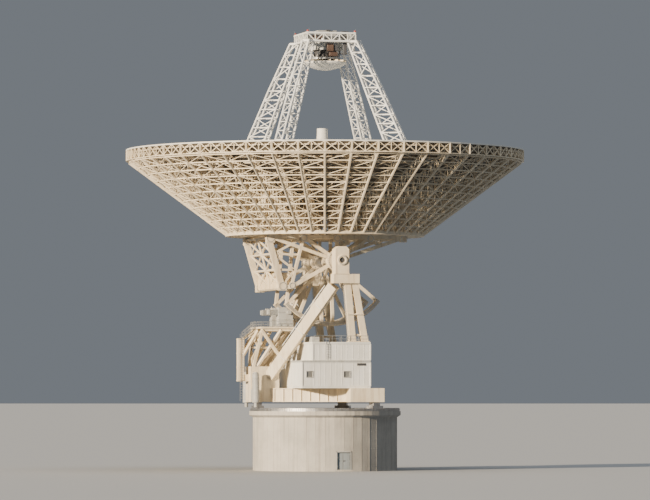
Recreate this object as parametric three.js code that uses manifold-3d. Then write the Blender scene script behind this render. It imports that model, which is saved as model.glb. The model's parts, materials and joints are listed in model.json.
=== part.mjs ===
// A large steerable radio telescope dish on its concrete pedestal, as a 1:2 scale model.
// Every length below is that of the full-size telescope in metres, and the outer group
// scales it. The origin is on the azimuth axis at ground level, +Z is up, +X is the way
// the dish tips, and the elevation axis is parallel to Y.

import * as THREE from 'three';
import { mergeVertices } from 'three/addons/utils/BufferGeometryUtils.js';
import Module from 'manifold-3d';

const wasm = await Module();
wasm.setup();

// Scale and fits
const MODEL_SCALE = 1 / 2;
const MILLIMETRES = 1000;
const SEAT = 0.0006; // gap between touching pieces, 0.3 mm on the model
const DEG = Math.PI / 180;
const ROUND_SIDES = 32;

// Pedestal
const PEDESTAL_RADIUS = 12.65;
const PEDESTAL_WALL = 1.1;
const PEDESTAL_FLOOR = 0.3;
const WALL_TOP = 9.3;
const ROOF_RADIUS = 13.3;
const ROOF_TOP = 10.4;
const PEDESTAL_DOOR = { width: 2.4, height: 3.0, thick: 0.12, recess: 0.3 };
const RUNNER = { inner: 11.3, outer: 13.1, top: 10.9 };

// Alidade
const PAD = { circle: 12.2, long: 2.6, wide: 1.6, top: 12.0 };
const PAD_ANGLES = { front_left: 60, front_right: -60, rear: 180 };
const GIRDER_TOP = 14.4;
const GIRDER_WIDTH = 1.6;
const REAR_CORNER = { xLow: -13.9, xHigh: -8.8, halfWide: 1.9, top: 18.2 };
const FRONT_CORNER = { xLow: 1.4, xHigh: 7.5, yLow: 8.6, yHigh: 11.9 };
const LEG_Y = 10.5;
const LEG_WIDTH = 1.1;
const LEG_COLUMNS = [{ atHead: 2.4, below: 4.25 }, { atHead: 1.15, below: 2.05 }];
const LEG_KNEE = 22.6; // the columns lean above this height and are upright below it
const LEG_TIES = [23.6, 27.2, 30.6];
const AXIS_HEIGHT = 36.6;

// Tipping assembly, with heights above the elevation axis
const DISH_RADIUS = 35;
const FOCAL_LENGTH = 27.05;
const VERTEX = 8.3;
const HUB_RADIUS = 4.6;
const SHELL_THICK = 0.3;
const RIM_BAND_BOTTOM = 17.6;
const RIM_BAND_THICK = 0.4;
const RING_RADIUS = 17.2;
const RING_PLANE = 4.4;
const RIB_START = 3.2;
const RIB_THICK = 0.3;
const RIB_STEP = 15;
const FACETS = 48;
const SKIN_STATIONS = [HUB_RADIUS, 10, 16, 22, 27, 31.2, DISH_RADIUS];
const AXLE_RADIUS = 0.9;
const BEARING = { yLow: 9.3, yHigh: 11.7, halfWide: 1.2, halfTall: 2.4 };
const SIDE_FRAME = { y: 8, thick: 0.7, chord: 0.6, reach: 12.7, heel: [-9.9, -4.6] };
const WHEEL = { y: 3.7, thick: 0.8, radius: 11.3, rim: 0.7, start: 222, end: 322 };
const PINION = { angle: 230, radius: 0.35, play: 0.05 };
const PLATFORM = { xLow: -12.6, xHigh: -6.7, halfWide: 4.1, top: 25.1, thick: 0.3 };
const REAR_POST = { xLow: -15.85, xHigh: -14.75, halfWide: 0.55, foot: 15.6, armTop: 16.8, top: 23.1 };
const COUNTERWEIGHT = { xLow: -10.1, xHigh: -8.5, zLow: -4.9, zHigh: -2.3 };

// Building on the alidade
const BUILDING = {
  xFront: 5.1, xRear: -7.1, xRearUpper: -5.2, halfWide: 11.4, wall: 0.25, slab: 0.3,
  upperFloor: 18.9, roof: 22.1, eaves: 0.15,
};
const BUILDING_DOOR = { x: -1.6, width: 1.1, height: 2.2, thick: 0.08 };
const VENT = { width: 1.1, height: 1.0, z: 16.8, places: [-5.8, 0.9] };

// Finishes
const finish = (color, roughness, metalness) =>
  new THREE.MeshStandardMaterial({ color, roughness, metalness });
const concrete = finish(0xb9b2a4, 0.9, 0);
const framePaint = finish(0xe6dcc8, 0.55, 0.1);
const dishPaint = finish(0xf0ebe0, 0.6, 0);
const wallPaint = finish(0xeeeae2, 0.6, 0);
const machinedSteel = finish(0x8c8f92, 0.35, 0.9);
const greyPaint = finish(0x9aa0a3, 0.5, 0.2);
const doorPaint = finish(0x6f7a80, 0.5, 0.2);

// A closed solid from a three.js geometry: shared corners merged, no zero-area faces,
// faces outward whichever way the profile was drawn.
function solidFrom(geometry) {
  const bare = geometry.clone();
  bare.deleteAttribute('normal');
  bare.deleteAttribute('uv');
  const merged = mergeVertices(bare, 1e-5);
  const corners = merged.index.array;
  const faces = [];
  for (let i = 0; i < corners.length; i += 3) {
    const [a, b, c] = [corners[i], corners[i + 1], corners[i + 2]];
    if (a !== b && b !== c && c !== a) faces.push([a, b, c]);
  }
  const points = merged.attributes.position;
  const corner = (k) => new THREE.Vector3().fromBufferAttribute(points, k);
  let volume = 0;
  for (const [a, b, c] of faces) volume += corner(a).dot(corner(b).cross(corner(c)));
  const outward = volume > 0 ? faces : faces.map(([a, b, c]) => [a, c, b]);
  return new wasm.Manifold(new wasm.Mesh({
    numProp: 3,
    vertProperties: points.array,
    triVerts: Uint32Array.from(outward.flat()),
  }));
}

const fuse = (solids) => solids.reduce((whole, piece) => whole.add(piece));
const cut = (solid, tools) => tools.reduce((rest, tool) => rest.subtract(tool), solid);

function block(xLow, xHigh, yLow, yHigh, zLow, zHigh) {
  const box = new THREE.BoxGeometry(xHigh - xLow, yHigh - yLow, zHigh - zLow);
  box.translate((xLow + xHigh) / 2, (yLow + yHigh) / 2, (zLow + zHigh) / 2);
  return solidFrom(box);
}

// A straight bar of rectangular section between two points. `across` is its size along
// `acrossWay`, `tall` its size the other way round the bar.
function bar(from, to, across, tall, acrossWay = [0, 1, 0]) {
  const start = new THREE.Vector3(...from);
  const end = new THREE.Vector3(...to);
  const along = end.clone().sub(start);
  const length = along.length();
  along.normalize();
  const upright = new THREE.Vector3(...acrossWay).cross(along).normalize();
  const sideways = along.clone().cross(upright);
  const box = new THREE.BoxGeometry(across, tall, length);
  const place = new THREE.Matrix4().makeBasis(sideways, upright.negate(), along);
  place.setPosition(start.add(end).multiplyScalar(0.5));
  box.applyMatrix4(place);
  return solidFrom(box);
}

// A body turned about the Z axis from a closed profile of [radius, height] points.
function turned(profile, sides = ROUND_SIDES) {
  const loop = [...profile, profile[0]].map(([r, z]) => new THREE.Vector2(r, z));
  const lathe = new THREE.LatheGeometry(loop, sides, Math.PI / 2);
  lathe.rotateX(Math.PI / 2);
  return solidFrom(lathe);
}

function ring(inner, outer, zLow, zHigh, sides = FACETS) {
  return turned([[inner, zLow], [outer, zLow], [outer, zHigh], [inner, zHigh]], sides);
}

// A round bar along Y. `turn` turns its flats about the bar.
function roundBar(radius, yLow, yHigh, turn = 0, sides = ROUND_SIDES) {
  const cylinder = new THREE.CylinderGeometry(radius, radius, yHigh - yLow, sides);
  cylinder.rotateY(turn);
  cylinder.translate(0, (yLow + yHigh) / 2, 0);
  return solidFrom(cylinder);
}

function outlineShape(points) {
  return new THREE.Shape(points.map(([x, y]) => new THREE.Vector2(x, y)));
}

// A plate in the X-Z plane: a shape extruded along Y about y, with windows cut through it.
function plate(shape, windows, y, thick, curveSegments = 12) {
  const prism = (face, depth) => {
    const sheet = new THREE.ExtrudeGeometry(face, { depth, bevelEnabled: false, curveSegments });
    sheet.rotateX(Math.PI / 2);
    sheet.translate(0, y + depth / 2, 0);
    return solidFrom(sheet);
  };
  return cut(prism(shape, thick), windows.map((window) => prism(outlineShape(window), thick + 1)));
}

// The window that a triangle between bars leaves: each side moved in by `inset`.
function triangleWindow(a, b, c, inset) {
  const side = (p, q) => Math.hypot(p[0] - q[0], p[1] - q[1]);
  const [la, lb, lc] = [side(b, c), side(c, a), side(a, b)];
  const perimeter = la + lb + lc;
  const centre = [0, 1].map((k) => (la * a[k] + lb * b[k] + lc * c[k]) / perimeter);
  const half = perimeter / 2;
  const inradius = Math.sqrt((half - la) * (half - lb) * (half - lc) / half);
  const shrink = 1 - inset / inradius;
  return [a, b, c].map((p) => [0, 1].map((k) => centre[k] + (p[k] - centre[k]) * shrink));
}

// Windows of a flat truss between two chords, two to a bay, with the diagonals alternating.
function trussWindows(lower, upper, barWidth) {
  const windows = [];
  for (let i = 0; i + 1 < lower.length; i += 1) {
    const [a, b, c, d] = [lower[i], lower[i + 1], upper[i + 1], upper[i]];
    const pair = i % 2 === 0 ? [[a, b, c], [a, c, d]] : [[a, b, d], [b, c, d]];
    for (const corners of pair) windows.push(triangleWindow(...corners, barWidth / 2));
  }
  return windows;
}

const turnedTo = (solid, degrees) => solid.rotate([0, 0, degrees]);

// The part of a round body between two azimuths, with a seat's gap at each end.
function sector(solid, fromDegrees, toDegrees, keepOff = SEAT / 2) {
  const reach = 2 * DISH_RADIUS;
  const shape = outlineShape([
    [0, 0],
    [reach * Math.cos(fromDegrees * DEG), reach * Math.sin(fromDegrees * DEG)],
    [reach * Math.SQRT2 * Math.cos((fromDegrees + toDegrees) / 2 * DEG),
      reach * Math.SQRT2 * Math.sin((fromDegrees + toDegrees) / 2 * DEG)],
    [reach * Math.cos(toDegrees * DEG), reach * Math.sin(toDegrees * DEG)],
  ]);
  const wedge = new THREE.ExtrudeGeometry(shape, { depth: 4 * DISH_RADIUS, bevelEnabled: false });
  const middle = (fromDegrees + toDegrees) / 2 * DEG;
  const halfAngle = (toDegrees - fromDegrees) / 2 * DEG;
  const shift = keepOff / Math.sin(halfAngle);
  wedge.translate(shift * Math.cos(middle), shift * Math.sin(middle), -2 * DISH_RADIUS);
  return solid.intersect(solidFrom(wedge));
}

// The scene graph
const telescope = new THREE.Group();
const ground = new THREE.Group();
const alidade = new THREE.Group();
const tipping = new THREE.Group();
telescope.scale.setScalar(MODEL_SCALE * MILLIMETRES);
tipping.position.z = AXIS_HEIGHT;
telescope.add(ground, alidade, tipping);

function addPart(group, name, solid, material) {
  const { vertProperties, triVerts } = solid.getMesh();
  const geometry = new THREE.BufferGeometry();
  geometry.setAttribute('position', new THREE.BufferAttribute(vertProperties, 3));
  geometry.setIndex(new THREE.BufferAttribute(triVerts, 1));
  geometry.computeVertexNormals();
  const mesh = new THREE.Mesh(geometry, material);
  mesh.name = name;
  group.add(mesh);
}

// Left is +Y and right is -Y when looking along +X.
const SIDES = { left: 1, right: -1 };
const QUARTERS = ['front_left', 'rear_left', 'rear_right', 'front_right'];

// Pedestal: a concrete drum with a floor, a flat roof with a projecting ring beam, a steel
// door in its right-hand side, and the machined runner that the turning part rides on.
function buildPedestal() {
  const inner = PEDESTAL_RADIUS - PEDESTAL_WALL;
  const halfDoor = PEDESTAL_DOOR.width / 2;
  const doorTop = PEDESTAL_FLOOR + PEDESTAL_DOOR.height;
  const doorway = block(-halfDoor, halfDoor, -PEDESTAL_RADIUS - 1, -inner + 1, PEDESTAL_FLOOR, doorTop);
  const wall = ring(inner, PEDESTAL_RADIUS, 0, WALL_TOP);
  addPart(ground, 'pedestal_wall', wall.subtract(doorway), concrete);

  const floorRadius = inner - SEAT;
  addPart(ground, 'pedestal_floor', turned([
    [0, 0], [floorRadius, 0], [floorRadius, PEDESTAL_FLOOR], [0, PEDESTAL_FLOOR],
  ], FACETS), concrete);

  const roofBottom = WALL_TOP + SEAT;
  addPart(ground, 'pedestal_roof', turned([
    [0, roofBottom], [PEDESTAL_RADIUS, roofBottom], [ROOF_RADIUS, roofBottom + 0.4],
    [ROOF_RADIUS, ROOF_TOP], [0, ROOF_TOP],
  ], FACETS), concrete);

  const doorFace = -PEDESTAL_RADIUS + PEDESTAL_DOOR.recess;
  addPart(ground, 'pedestal_door', block(
    -halfDoor + SEAT, halfDoor - SEAT, doorFace, doorFace + PEDESTAL_DOOR.thick,
    PEDESTAL_FLOOR + SEAT, doorTop - SEAT), doorPaint);

  addPart(ground, 'azimuth_runner',
    ring(RUNNER.inner, RUNNER.outer, ROOF_TOP + SEAT, RUNNER.top), machinedSteel);
}

const rearCornerBox = (grow) => block(
  REAR_CORNER.xLow - grow, REAR_CORNER.xHigh + grow,
  -REAR_CORNER.halfWide - grow, REAR_CORNER.halfWide + grow,
  PAD.top + SEAT - grow, REAR_CORNER.top + grow);

const frontCornerBox = (side, grow) => {
  const low = side * FRONT_CORNER.yLow;
  const high = side * FRONT_CORNER.yHigh;
  return block(
    FRONT_CORNER.xLow - grow, FRONT_CORNER.xHigh + grow,
    Math.min(low, high) - grow, Math.max(low, high) + grow,
    PAD.top + SEAT - grow, GIRDER_TOP + grow);
};

// The three bearing pads, the corner weldments over them and the girders between these.
function buildBase() {
  for (const [name, angle] of Object.entries(PAD_ANGLES)) {
    const shoeTop = RUNNER.top + 0.45;
    const shoe = block(-PAD.wide / 2, PAD.wide / 2, -PAD.long / 2, PAD.long / 2,
      RUNNER.top + SEAT, shoeTop);
    const post = block(-0.55, 0.55, -0.8, 0.8, shoeTop - 0.05, PAD.top);
    const pad = shoe.add(post).translate([PAD.circle, 0, 0]);
    addPart(alidade, `bearing_pad_${name}`, turnedTo(pad, angle), machinedSteel);
  }
  const corners = [rearCornerBox(SEAT), frontCornerBox(1, SEAT), frontCornerBox(-1, SEAT)];
  addPart(alidade, 'base_corner_rear', rearCornerBox(0), framePaint);
  const girderMiddle = (PAD.top + SEAT + GIRDER_TOP) / 2;
  const girderTall = GIRDER_TOP - PAD.top - SEAT;
  const foot = (angle) => [
    PAD.circle * Math.cos(angle * DEG), PAD.circle * Math.sin(angle * DEG), girderMiddle];
  const girder = (a, b) => cut(bar(foot(a), foot(b), girderTall, GIRDER_WIDTH, [0, 0, 1]), corners);
  for (const [name, side] of Object.entries(SIDES)) {
    addPart(alidade, `base_corner_front_${name}`, frontCornerBox(side, 0), framePaint);
    addPart(alidade, `base_girder_${name}`, girder(side * PAD_ANGLES.front_left, 180), framePaint);
  }
  addPart(alidade, 'base_girder_front', girder(PAD_ANGLES.front_left, PAD_ANGLES.front_right), framePaint);
}

// Azimuth drives: upright gearboxes on the rear corner, whose pinions reach down beside the
// toothed edge of the runner.
function buildAzimuthDrives() {
  const [x, y] = [-13.4, 3.4];
  const casing = turned([[0, 11.9], [0.62, 11.9], [0.62, 15.2], [0.45, 15.5], [0.45, 17.2], [0, 17.2]], 16);
  const pinion = turned([[0, 11.1], [0.3, 11.1], [0.3, 12], [0, 12]], 16);
  for (const [name, side] of Object.entries(SIDES)) {
    const bracket = block(-0.5, 0.5, Math.min(0, side * -y), Math.max(0, side * -y), 12.4, 14.2);
    const drive = fuse([casing, pinion, bracket]).translate([x, side * y, 0]);
    addPart(alidade, `azimuth_drive_${name}`, cut(drive, [rearCornerBox(SEAT),
      block(-20, 20, Math.min(0, side * REAR_CORNER.halfWide) - SEAT,
        Math.max(0, side * REAR_CORNER.halfWide) + SEAT, 0, 30)]), greyPaint);
  }
}

const headBlock = (side, grow) => {
  const low = side * (LEG_Y - 1.1);
  const high = side * (LEG_Y + 1.1);
  return block(-1.5 - grow, 3.1 + grow, Math.min(low, high) - grow, Math.max(low, high) + grow,
    AXIS_HEIGHT - 4.0 - grow, AXIS_HEIGHT - BEARING.halfTall - SEAT + grow);
};

// The upright part of both columns of a front leg, from the base to just over the knee.
const uprightColumns = (side, grow) => fuse(LEG_COLUMNS.map(({ below }) => {
  const half = LEG_WIDTH / 2 + grow;
  return block(below - half, below + half, side * LEG_Y - half, side * LEG_Y + half,
    GIRDER_TOP - grow, LEG_KNEE + 0.2 + grow);
}));

// Front leg: two columns that stand upright inside the building and lean together above its
// roof, tied to each other, under the head block that carries the bearing.
function buildFrontLeg(name, side) {
  const y = side * LEG_Y;
  const top = AXIS_HEIGHT - 3.8;
  const leaning = LEG_COLUMNS.map(({ atHead, below }) =>
    bar([atHead, y, top], [below, y, LEG_KNEE], LEG_WIDTH, LEG_WIDTH));
  const columnX = ({ atHead, below }, z) =>
    below + (atHead - below) * (z - LEG_KNEE) / (top - LEG_KNEE);
  const ties = LEG_TIES.map((z) =>
    bar([columnX(LEG_COLUMNS[0], z), y, z], [columnX(LEG_COLUMNS[1], z), y, z], 0.7, 0.4));
  const leg = fuse([headBlock(side, 0), uprightColumns(side, 0), ...leaning, ...ties]);
  addPart(alidade, `front_leg_${name}`, cut(leg, [frontCornerBox(side, SEAT)]), framePaint);
}

// The whole length of a rear leg, a box girder that slopes down and inward.
const rearLegBar = (side, grow) => bar(
  [-1.2, side * (LEG_Y - 0.1), AXIS_HEIGHT - 4.4], [-10.4, side * 1.3, AXIS_HEIGHT - 20.2],
  1.7 + 2 * grow, 1.7 + 2 * grow, [-side * 0.62, 1, 0]);

// Rear leg: from the head block down to the rear corner, trimmed where it meets them.
function buildRearLeg(name, side) {
  const leg = cut(rearLegBar(side, 0), [headBlock(side, SEAT), rearCornerBox(SEAT)]);
  const ownSide = block(-20, 5, Math.min(side * SEAT, side * 20), Math.max(side * SEAT, side * 20), 10, 40);
  addPart(alidade, `rear_leg_${name}`, leg.intersect(ownSide), framePaint);
}

// Bearing housing: a pillow block whose bore takes the end of the elevation axle.
function buildBearing(name, side) {
  const { yLow, yHigh, halfWide, halfTall } = BEARING;
  const chamfer = 0.5;
  const shape = outlineShape([
    [-halfWide, -halfTall], [halfWide, -halfTall], [halfWide, halfTall - chamfer],
    [halfWide - chamfer, halfTall], [-halfWide + chamfer, halfTall], [-halfWide, halfTall - chamfer],
  ]);
  const housing = plate(shape, [], side * (yLow + yHigh) / 2, yHigh - yLow);
  const boreRadius = (AXLE_RADIUS + SEAT) / Math.cos(Math.PI / ROUND_SIDES);
  const boreStart = side * (yLow - 1);
  const boreEnd = side * (yHigh - 0.4);
  const bore = roundBar(boreRadius, Math.min(boreStart, boreEnd), Math.max(boreStart, boreEnd),
    Math.PI / ROUND_SIDES);
  addPart(alidade, `elevation_bearing_${name}`,
    housing.subtract(bore).translate([0, 0, AXIS_HEIGHT]), framePaint);
}

// Platform behind the elevation wheels: a deck on four raking legs that stand on the rear
// corner, and a thick post on an arm behind this, with a strut up to the deck.
function buildPlatform() {
  const { xLow, xHigh, halfWide, top, thick } = PLATFORM;
  const under = top - thick;
  const foot = REAR_CORNER.top + SEAT;
  const pieces = [block(xLow, xHigh, -halfWide, halfWide, under, top)];
  for (const side of [1, -1]) {
    const rearFoot = [-13.4, side * 1.4, foot - 0.5];
    const rearHead = [-12.2, side * 3.6, under + 0.05];
    const frontFoot = [-12.1, side * 0.55, foot - 0.5];
    const frontHead = [-7.1, side * 2.6, under + 0.05];
    pieces.push(bar(rearFoot, rearHead, 0.45, 0.45));
    pieces.push(bar(frontFoot, frontHead, 0.45, 0.45));
    pieces.push(bar([-12.8, side * 2.5, 21.5], [-9.4, side * 1.6, 21.5], 0.3, 0.3));
    pieces.push(bar([-12.2, side * 3.6, under - 0.2], [xHigh, side * 3.6, under - 0.2], 0.35, 0.5));
    pieces.push(bar([-13.4, side * 1.4, foot + 0.3], [-12.8, side * -2.5, 21.5], 0.3, 0.3));
    pieces.push(bar([-12.8, side * 2.5, 21.5], [-12.2, side * -3.6, under], 0.3, 0.3));
  }
  pieces.push(bar([-12.8, -2.5, 21.5], [-12.8, 2.5, 21.5], 0.3, 0.3, [0, 0, 1]));
  pieces.push(bar([-9.4, -1.6, 21.5], [-9.4, 1.6, 21.5], 0.3, 0.3, [0, 0, 1]));
  const post = REAR_POST;
  pieces.push(block(post.xLow, post.xHigh, -post.halfWide, post.halfWide, post.foot, post.top));
  pieces.push(block(post.xLow, REAR_CORNER.xLow - SEAT, -post.halfWide, post.halfWide, post.foot, post.armTop));
  pieces.push(bar([post.xHigh - 0.4, 0, post.top - 0.3], [xLow + 0.3, 0, under + 0.05], 0.4, 0.4));
  const deck = cut(fuse(pieces), [rearCornerBox(SEAT), rearLegBar(1, SEAT), rearLegBar(-1, SEAT)]);
  addPart(alidade, 'drive_platform', deck, framePaint);
}

// Elevation drive: a gearbox and motor on the platform, with the pinion beside the wheel's rim.
function buildElevationDrive(name, side) {
  const reach = WHEEL.radius + PINION.radius + PINION.play;
  const x = reach * Math.cos(PINION.angle * DEG);
  const z = AXIS_HEIGHT + reach * Math.sin(PINION.angle * DEG);
  const near = side * 1.5;
  const far = side * (WHEEL.y - WHEEL.thick / 2 - 0.2);
  const gearbox = block(x - 1.7, x + 0.9, Math.min(near, far), Math.max(near, far),
    PLATFORM.top + SEAT, z + 0.8);
  const shaftEnd = side * (WHEEL.y + WHEEL.thick / 2);
  const pinion = roundBar(PINION.radius, Math.min(far, shaftEnd) - 0.1, Math.max(far, shaftEnd), 0, 16);
  const motor = bar([x - 1.5, side * 2.3, z], [x - 3.4, side * 2.3, z], 0.8, 0.8);
  const drive = fuse([gearbox, pinion.translate([x, 0, z]), motor]);
  addPart(alidade, `elevation_drive_${name}`, drive, greyPaint);
}

// Two-storey equipment building on the base girders, hollow, with small vent openings. The
// front legs come down through its roof and floors, inside its walls.
function buildBuilding() {
  const { xFront, xRear, xRearUpper, halfWide, wall, slab, upperFloor, roof, eaves } = BUILDING;
  const floorTop = GIRDER_TOP + SEAT + slab;
  const upperTop = upperFloor + slab;
  const shell = (rear, zLow, zHigh) => block(rear, xFront, -halfWide, halfWide, zLow, zHigh)
    .subtract(block(rear + wall, xFront - wall, -halfWide + wall, halfWide - wall, zLow - 1, zHigh + 1));
  const slabAt = (rear, overhang, zLow, zHigh) => cut(
    block(rear - overhang, xFront, -halfWide - overhang, halfWide + overhang, zLow, zHigh),
    [uprightColumns(1, SEAT), uprightColumns(-1, SEAT)]);
  addPart(alidade, 'building_floor', slabAt(xRear, 0, GIRDER_TOP + SEAT, floorTop), wallPaint);
  const openings = VENT.places.map((x) => block(x - VENT.width / 2, x + VENT.width / 2,
    -halfWide - 1, halfWide + 1, VENT.z - VENT.height / 2, VENT.z + VENT.height / 2));
  const halfDoor = BUILDING_DOOR.width / 2;
  const doorTop = floorTop + BUILDING_DOOR.height;
  openings.push(block(BUILDING_DOOR.x - halfDoor, BUILDING_DOOR.x + halfDoor, halfWide - 1, halfWide + 1,
    floorTop - 1, doorTop));
  addPart(alidade, 'building_lower_walls',
    cut(shell(xRear, floorTop + SEAT, upperFloor - SEAT), openings), wallPaint);
  addPart(alidade, 'building_door', block(
    BUILDING_DOOR.x - halfDoor + SEAT, BUILDING_DOOR.x + halfDoor - SEAT,
    halfWide - 0.06 - BUILDING_DOOR.thick, halfWide - 0.06, floorTop + SEAT, doorTop - SEAT), doorPaint);
  addPart(alidade, 'building_upper_floor', slabAt(xRear, eaves, upperFloor, upperTop), greyPaint);
  addPart(alidade, 'building_upper_walls',
    shell(xRearUpper, upperTop + SEAT, roof - SEAT), wallPaint);
  addPart(alidade, 'building_roof', slabAt(xRearUpper, eaves, roof, roof + slab), wallPaint);
}

const axleHole = () => roundBar(AXLE_RADIUS + SEAT, -BEARING.yHigh, BEARING.yHigh);

// A ring of material round the axle in a flat frame.
const hubRing = (radius, y, thick) => roundBar(radius, y - thick / 2, y + thick / 2, 0, 16);

// Side frame: the truss that hangs the dish from the axle, with the raking rear end.
function buildSideFrame(name, side) {
  const y = side * SIDE_FRAME.y;
  const chordMiddle = RING_PLANE - SEAT - SIDE_FRAME.chord / 2;
  const { reach, heel } = SIDE_FRAME;
  const member = (a, b, width) => bar([a[0], y, a[1]], [b[0], y, b[1]], SIDE_FRAME.thick, width);
  const hub = [0, 0];
  const pieces = [
    member([-reach, chordMiddle], [reach, chordMiddle], SIDE_FRAME.chord),
    member([0.3 - reach, chordMiddle], heel, 1.0),
    member([-10.3, -4.6], [-7.7, -4.6], 0.7),
    member([-8.2, -4.6], hub, 0.6),
    hubRing(1.9, y, SIDE_FRAME.thick),
  ];
  for (const x of [0.5 - reach, -6, 0, 6, reach - 0.5]) {
    pieces.push(member(hub, [x, chordMiddle], 0.55));
  }
  pieces.push(member([-6, chordMiddle], [-8.2, -4.4], 0.45));
  addPart(tipping, `side_frame_${name}`, fuse(pieces).subtract(axleHole()), framePaint);
}

// Elevation wheel: the arc of gear rim under the axle, its spokes and its top chord.
function buildElevationWheel(name, side) {
  const y = side * WHEEL.y;
  const { radius, rim, start, end, thick } = WHEEL;
  const arc = new THREE.Shape();
  arc.absarc(0, 0, radius, start * DEG, end * DEG, false);
  arc.absarc(0, 0, radius - rim, end * DEG, start * DEG, true);
  const member = (a, b, width) => bar([a[0], y, a[1]], [b[0], y, b[1]], thick * 0.75, width);
  const onRim = (degrees) => [
    (radius - rim / 2) * Math.cos(degrees * DEG), (radius - rim / 2) * Math.sin(degrees * DEG)];
  const chordMiddle = RING_PLANE - SEAT - 0.25;
  const pieces = [plate(arc, [], y, thick, 12), hubRing(1.6, y, thick)];
  const spokes = 5;
  for (let i = 0; i < spokes; i += 1) {
    const angle = start + 1.5 + (end - start - 3) * i / (spokes - 1);
    pieces.push(member([0, 0], onRim(angle), 0.5));
  }
  pieces.push(member([-7, chordMiddle], [6.25, chordMiddle], 0.5));
  pieces.push(member([-6.75, chordMiddle], onRim(start + 1.5), 0.5));
  for (const x of [-6.75, 0, 6]) pieces.push(member([0, 0], [x, chordMiddle], 0.5));
  addPart(tipping, `elevation_wheel_${name}`, fuse(pieces).subtract(axleHole()), framePaint);
}

// The dish surface: height of the paraboloid, and of the underside of its skin.
const dishHeight = (r) => VERTEX + r * r / (4 * FOCAL_LENGTH);
const skinTop = SKIN_STATIONS.map((r) => [r, dishHeight(r)]);

function underside(r) {
  const i = SKIN_STATIONS.findIndex((station, k) => k > 0 && r <= station + SEAT);
  const [a, b] = [skinTop[i - 1], skinTop[i]];
  return a[1] + (b[1] - a[1]) * (r - a[0]) / (b[0] - a[0]) - SHELL_THICK;
}

// Reflector skin in four quarters, with the deep band round the rim.
function buildReflector() {
  const bandInner = DISH_RADIUS - RIM_BAND_THICK;
  const below = SKIN_STATIONS.slice(0, -1).map((r) => [r, underside(r)]).reverse();
  const skin = turned([
    ...skinTop, [DISH_RADIUS, RIM_BAND_BOTTOM], [bandInner, RIM_BAND_BOTTOM],
    [bandInner, underside(bandInner)], ...below,
  ], FACETS);
  for (const [i, name] of QUARTERS.entries()) {
    addPart(tipping, `reflector_${name}`, sector(skin, 90 * i, 90 * (i + 1)), dishPaint);
  }
}

const chordHeight = (r) => (r <= RING_RADIUS ? RING_PLANE
  : RING_PLANE + (RIM_BAND_BOTTOM - RING_PLANE) * (r - RING_RADIUS) / (DISH_RADIUS - RING_RADIUS));

// One radial rib of the back structure: a flat truss from the hub drum out to the rim band.
function ribTruss() {
  const facetRunIn = RIB_THICK / 2 * Math.tan(Math.PI / FACETS);
  const ribEnd = DISH_RADIUS - RIM_BAND_THICK - SEAT - facetRunIn;
  const upperEdge = [
    [RIB_START, underside(HUB_RADIUS) - SEAT],
    ...SKIN_STATIONS.slice(0, -1).map((r) => [r, underside(r) - SEAT]),
    [ribEnd, underside(ribEnd) - SEAT],
  ];
  const outline = [[RIB_START, RING_PLANE], [RING_RADIUS, RING_PLANE], [ribEnd, chordHeight(ribEnd)],
    ...upperEdge.reverse()];
  const bays = [RIB_START + 0.2, 9.9, RING_RADIUS, 23.6, 29.4, ribEnd - 0.2];
  const lower = bays.map((r) => [r, chordHeight(r) + 0.2]);
  const upper = bays.map((r) => [r, underside(Math.max(r, HUB_RADIUS)) - 0.2]);
  return plate(outlineShape(outline), trussWindows(lower, upper, 0.34), 0, RIB_THICK);
}

// The back structure in four quarters of six ribs each, tied by hoops.
function buildBackStructure() {
  const hoopSides = 360 / RIB_STEP;
  const middleHoop = 26;
  const middleBottom = chordHeight(middleHoop);
  const hoops = fuse([
    ring(RING_RADIUS - 0.5, RING_RADIUS, RING_PLANE, RING_PLANE + 0.7, hoopSides),
    ring(middleHoop - 0.2, middleHoop + 0.2, middleBottom + 0.2, middleBottom + 0.6, hoopSides),
    ring(RIB_START, RIB_START + 0.35, RING_PLANE, underside(HUB_RADIUS) - SEAT, hoopSides),
  ]);
  const rib = ribTruss();
  for (const [i, name] of QUARTERS.entries()) {
    const start = 90 * i;
    const ribs = [0, 1, 2, 3, 4, 5].map((k) => turnedTo(rib, start + RIB_STEP * k));
    const arcs = sector(hoops, start - RIB_STEP / 2, start + 90 - RIB_STEP / 2);
    addPart(tipping, `back_structure_${name}`, fuse([arcs, ...ribs]), framePaint);
  }
}

// Everything below the dish surface, to trim what stands on it.
function dishBelow() {
  const lift = (points) => points.map(([r, z]) => [r, z + SEAT]);
  return turned([[0, 0], [DISH_RADIUS, 0], ...lift([...skinTop].reverse()), [0, skinTop[0][1] + SEAT]],
    FACETS);
}

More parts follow.
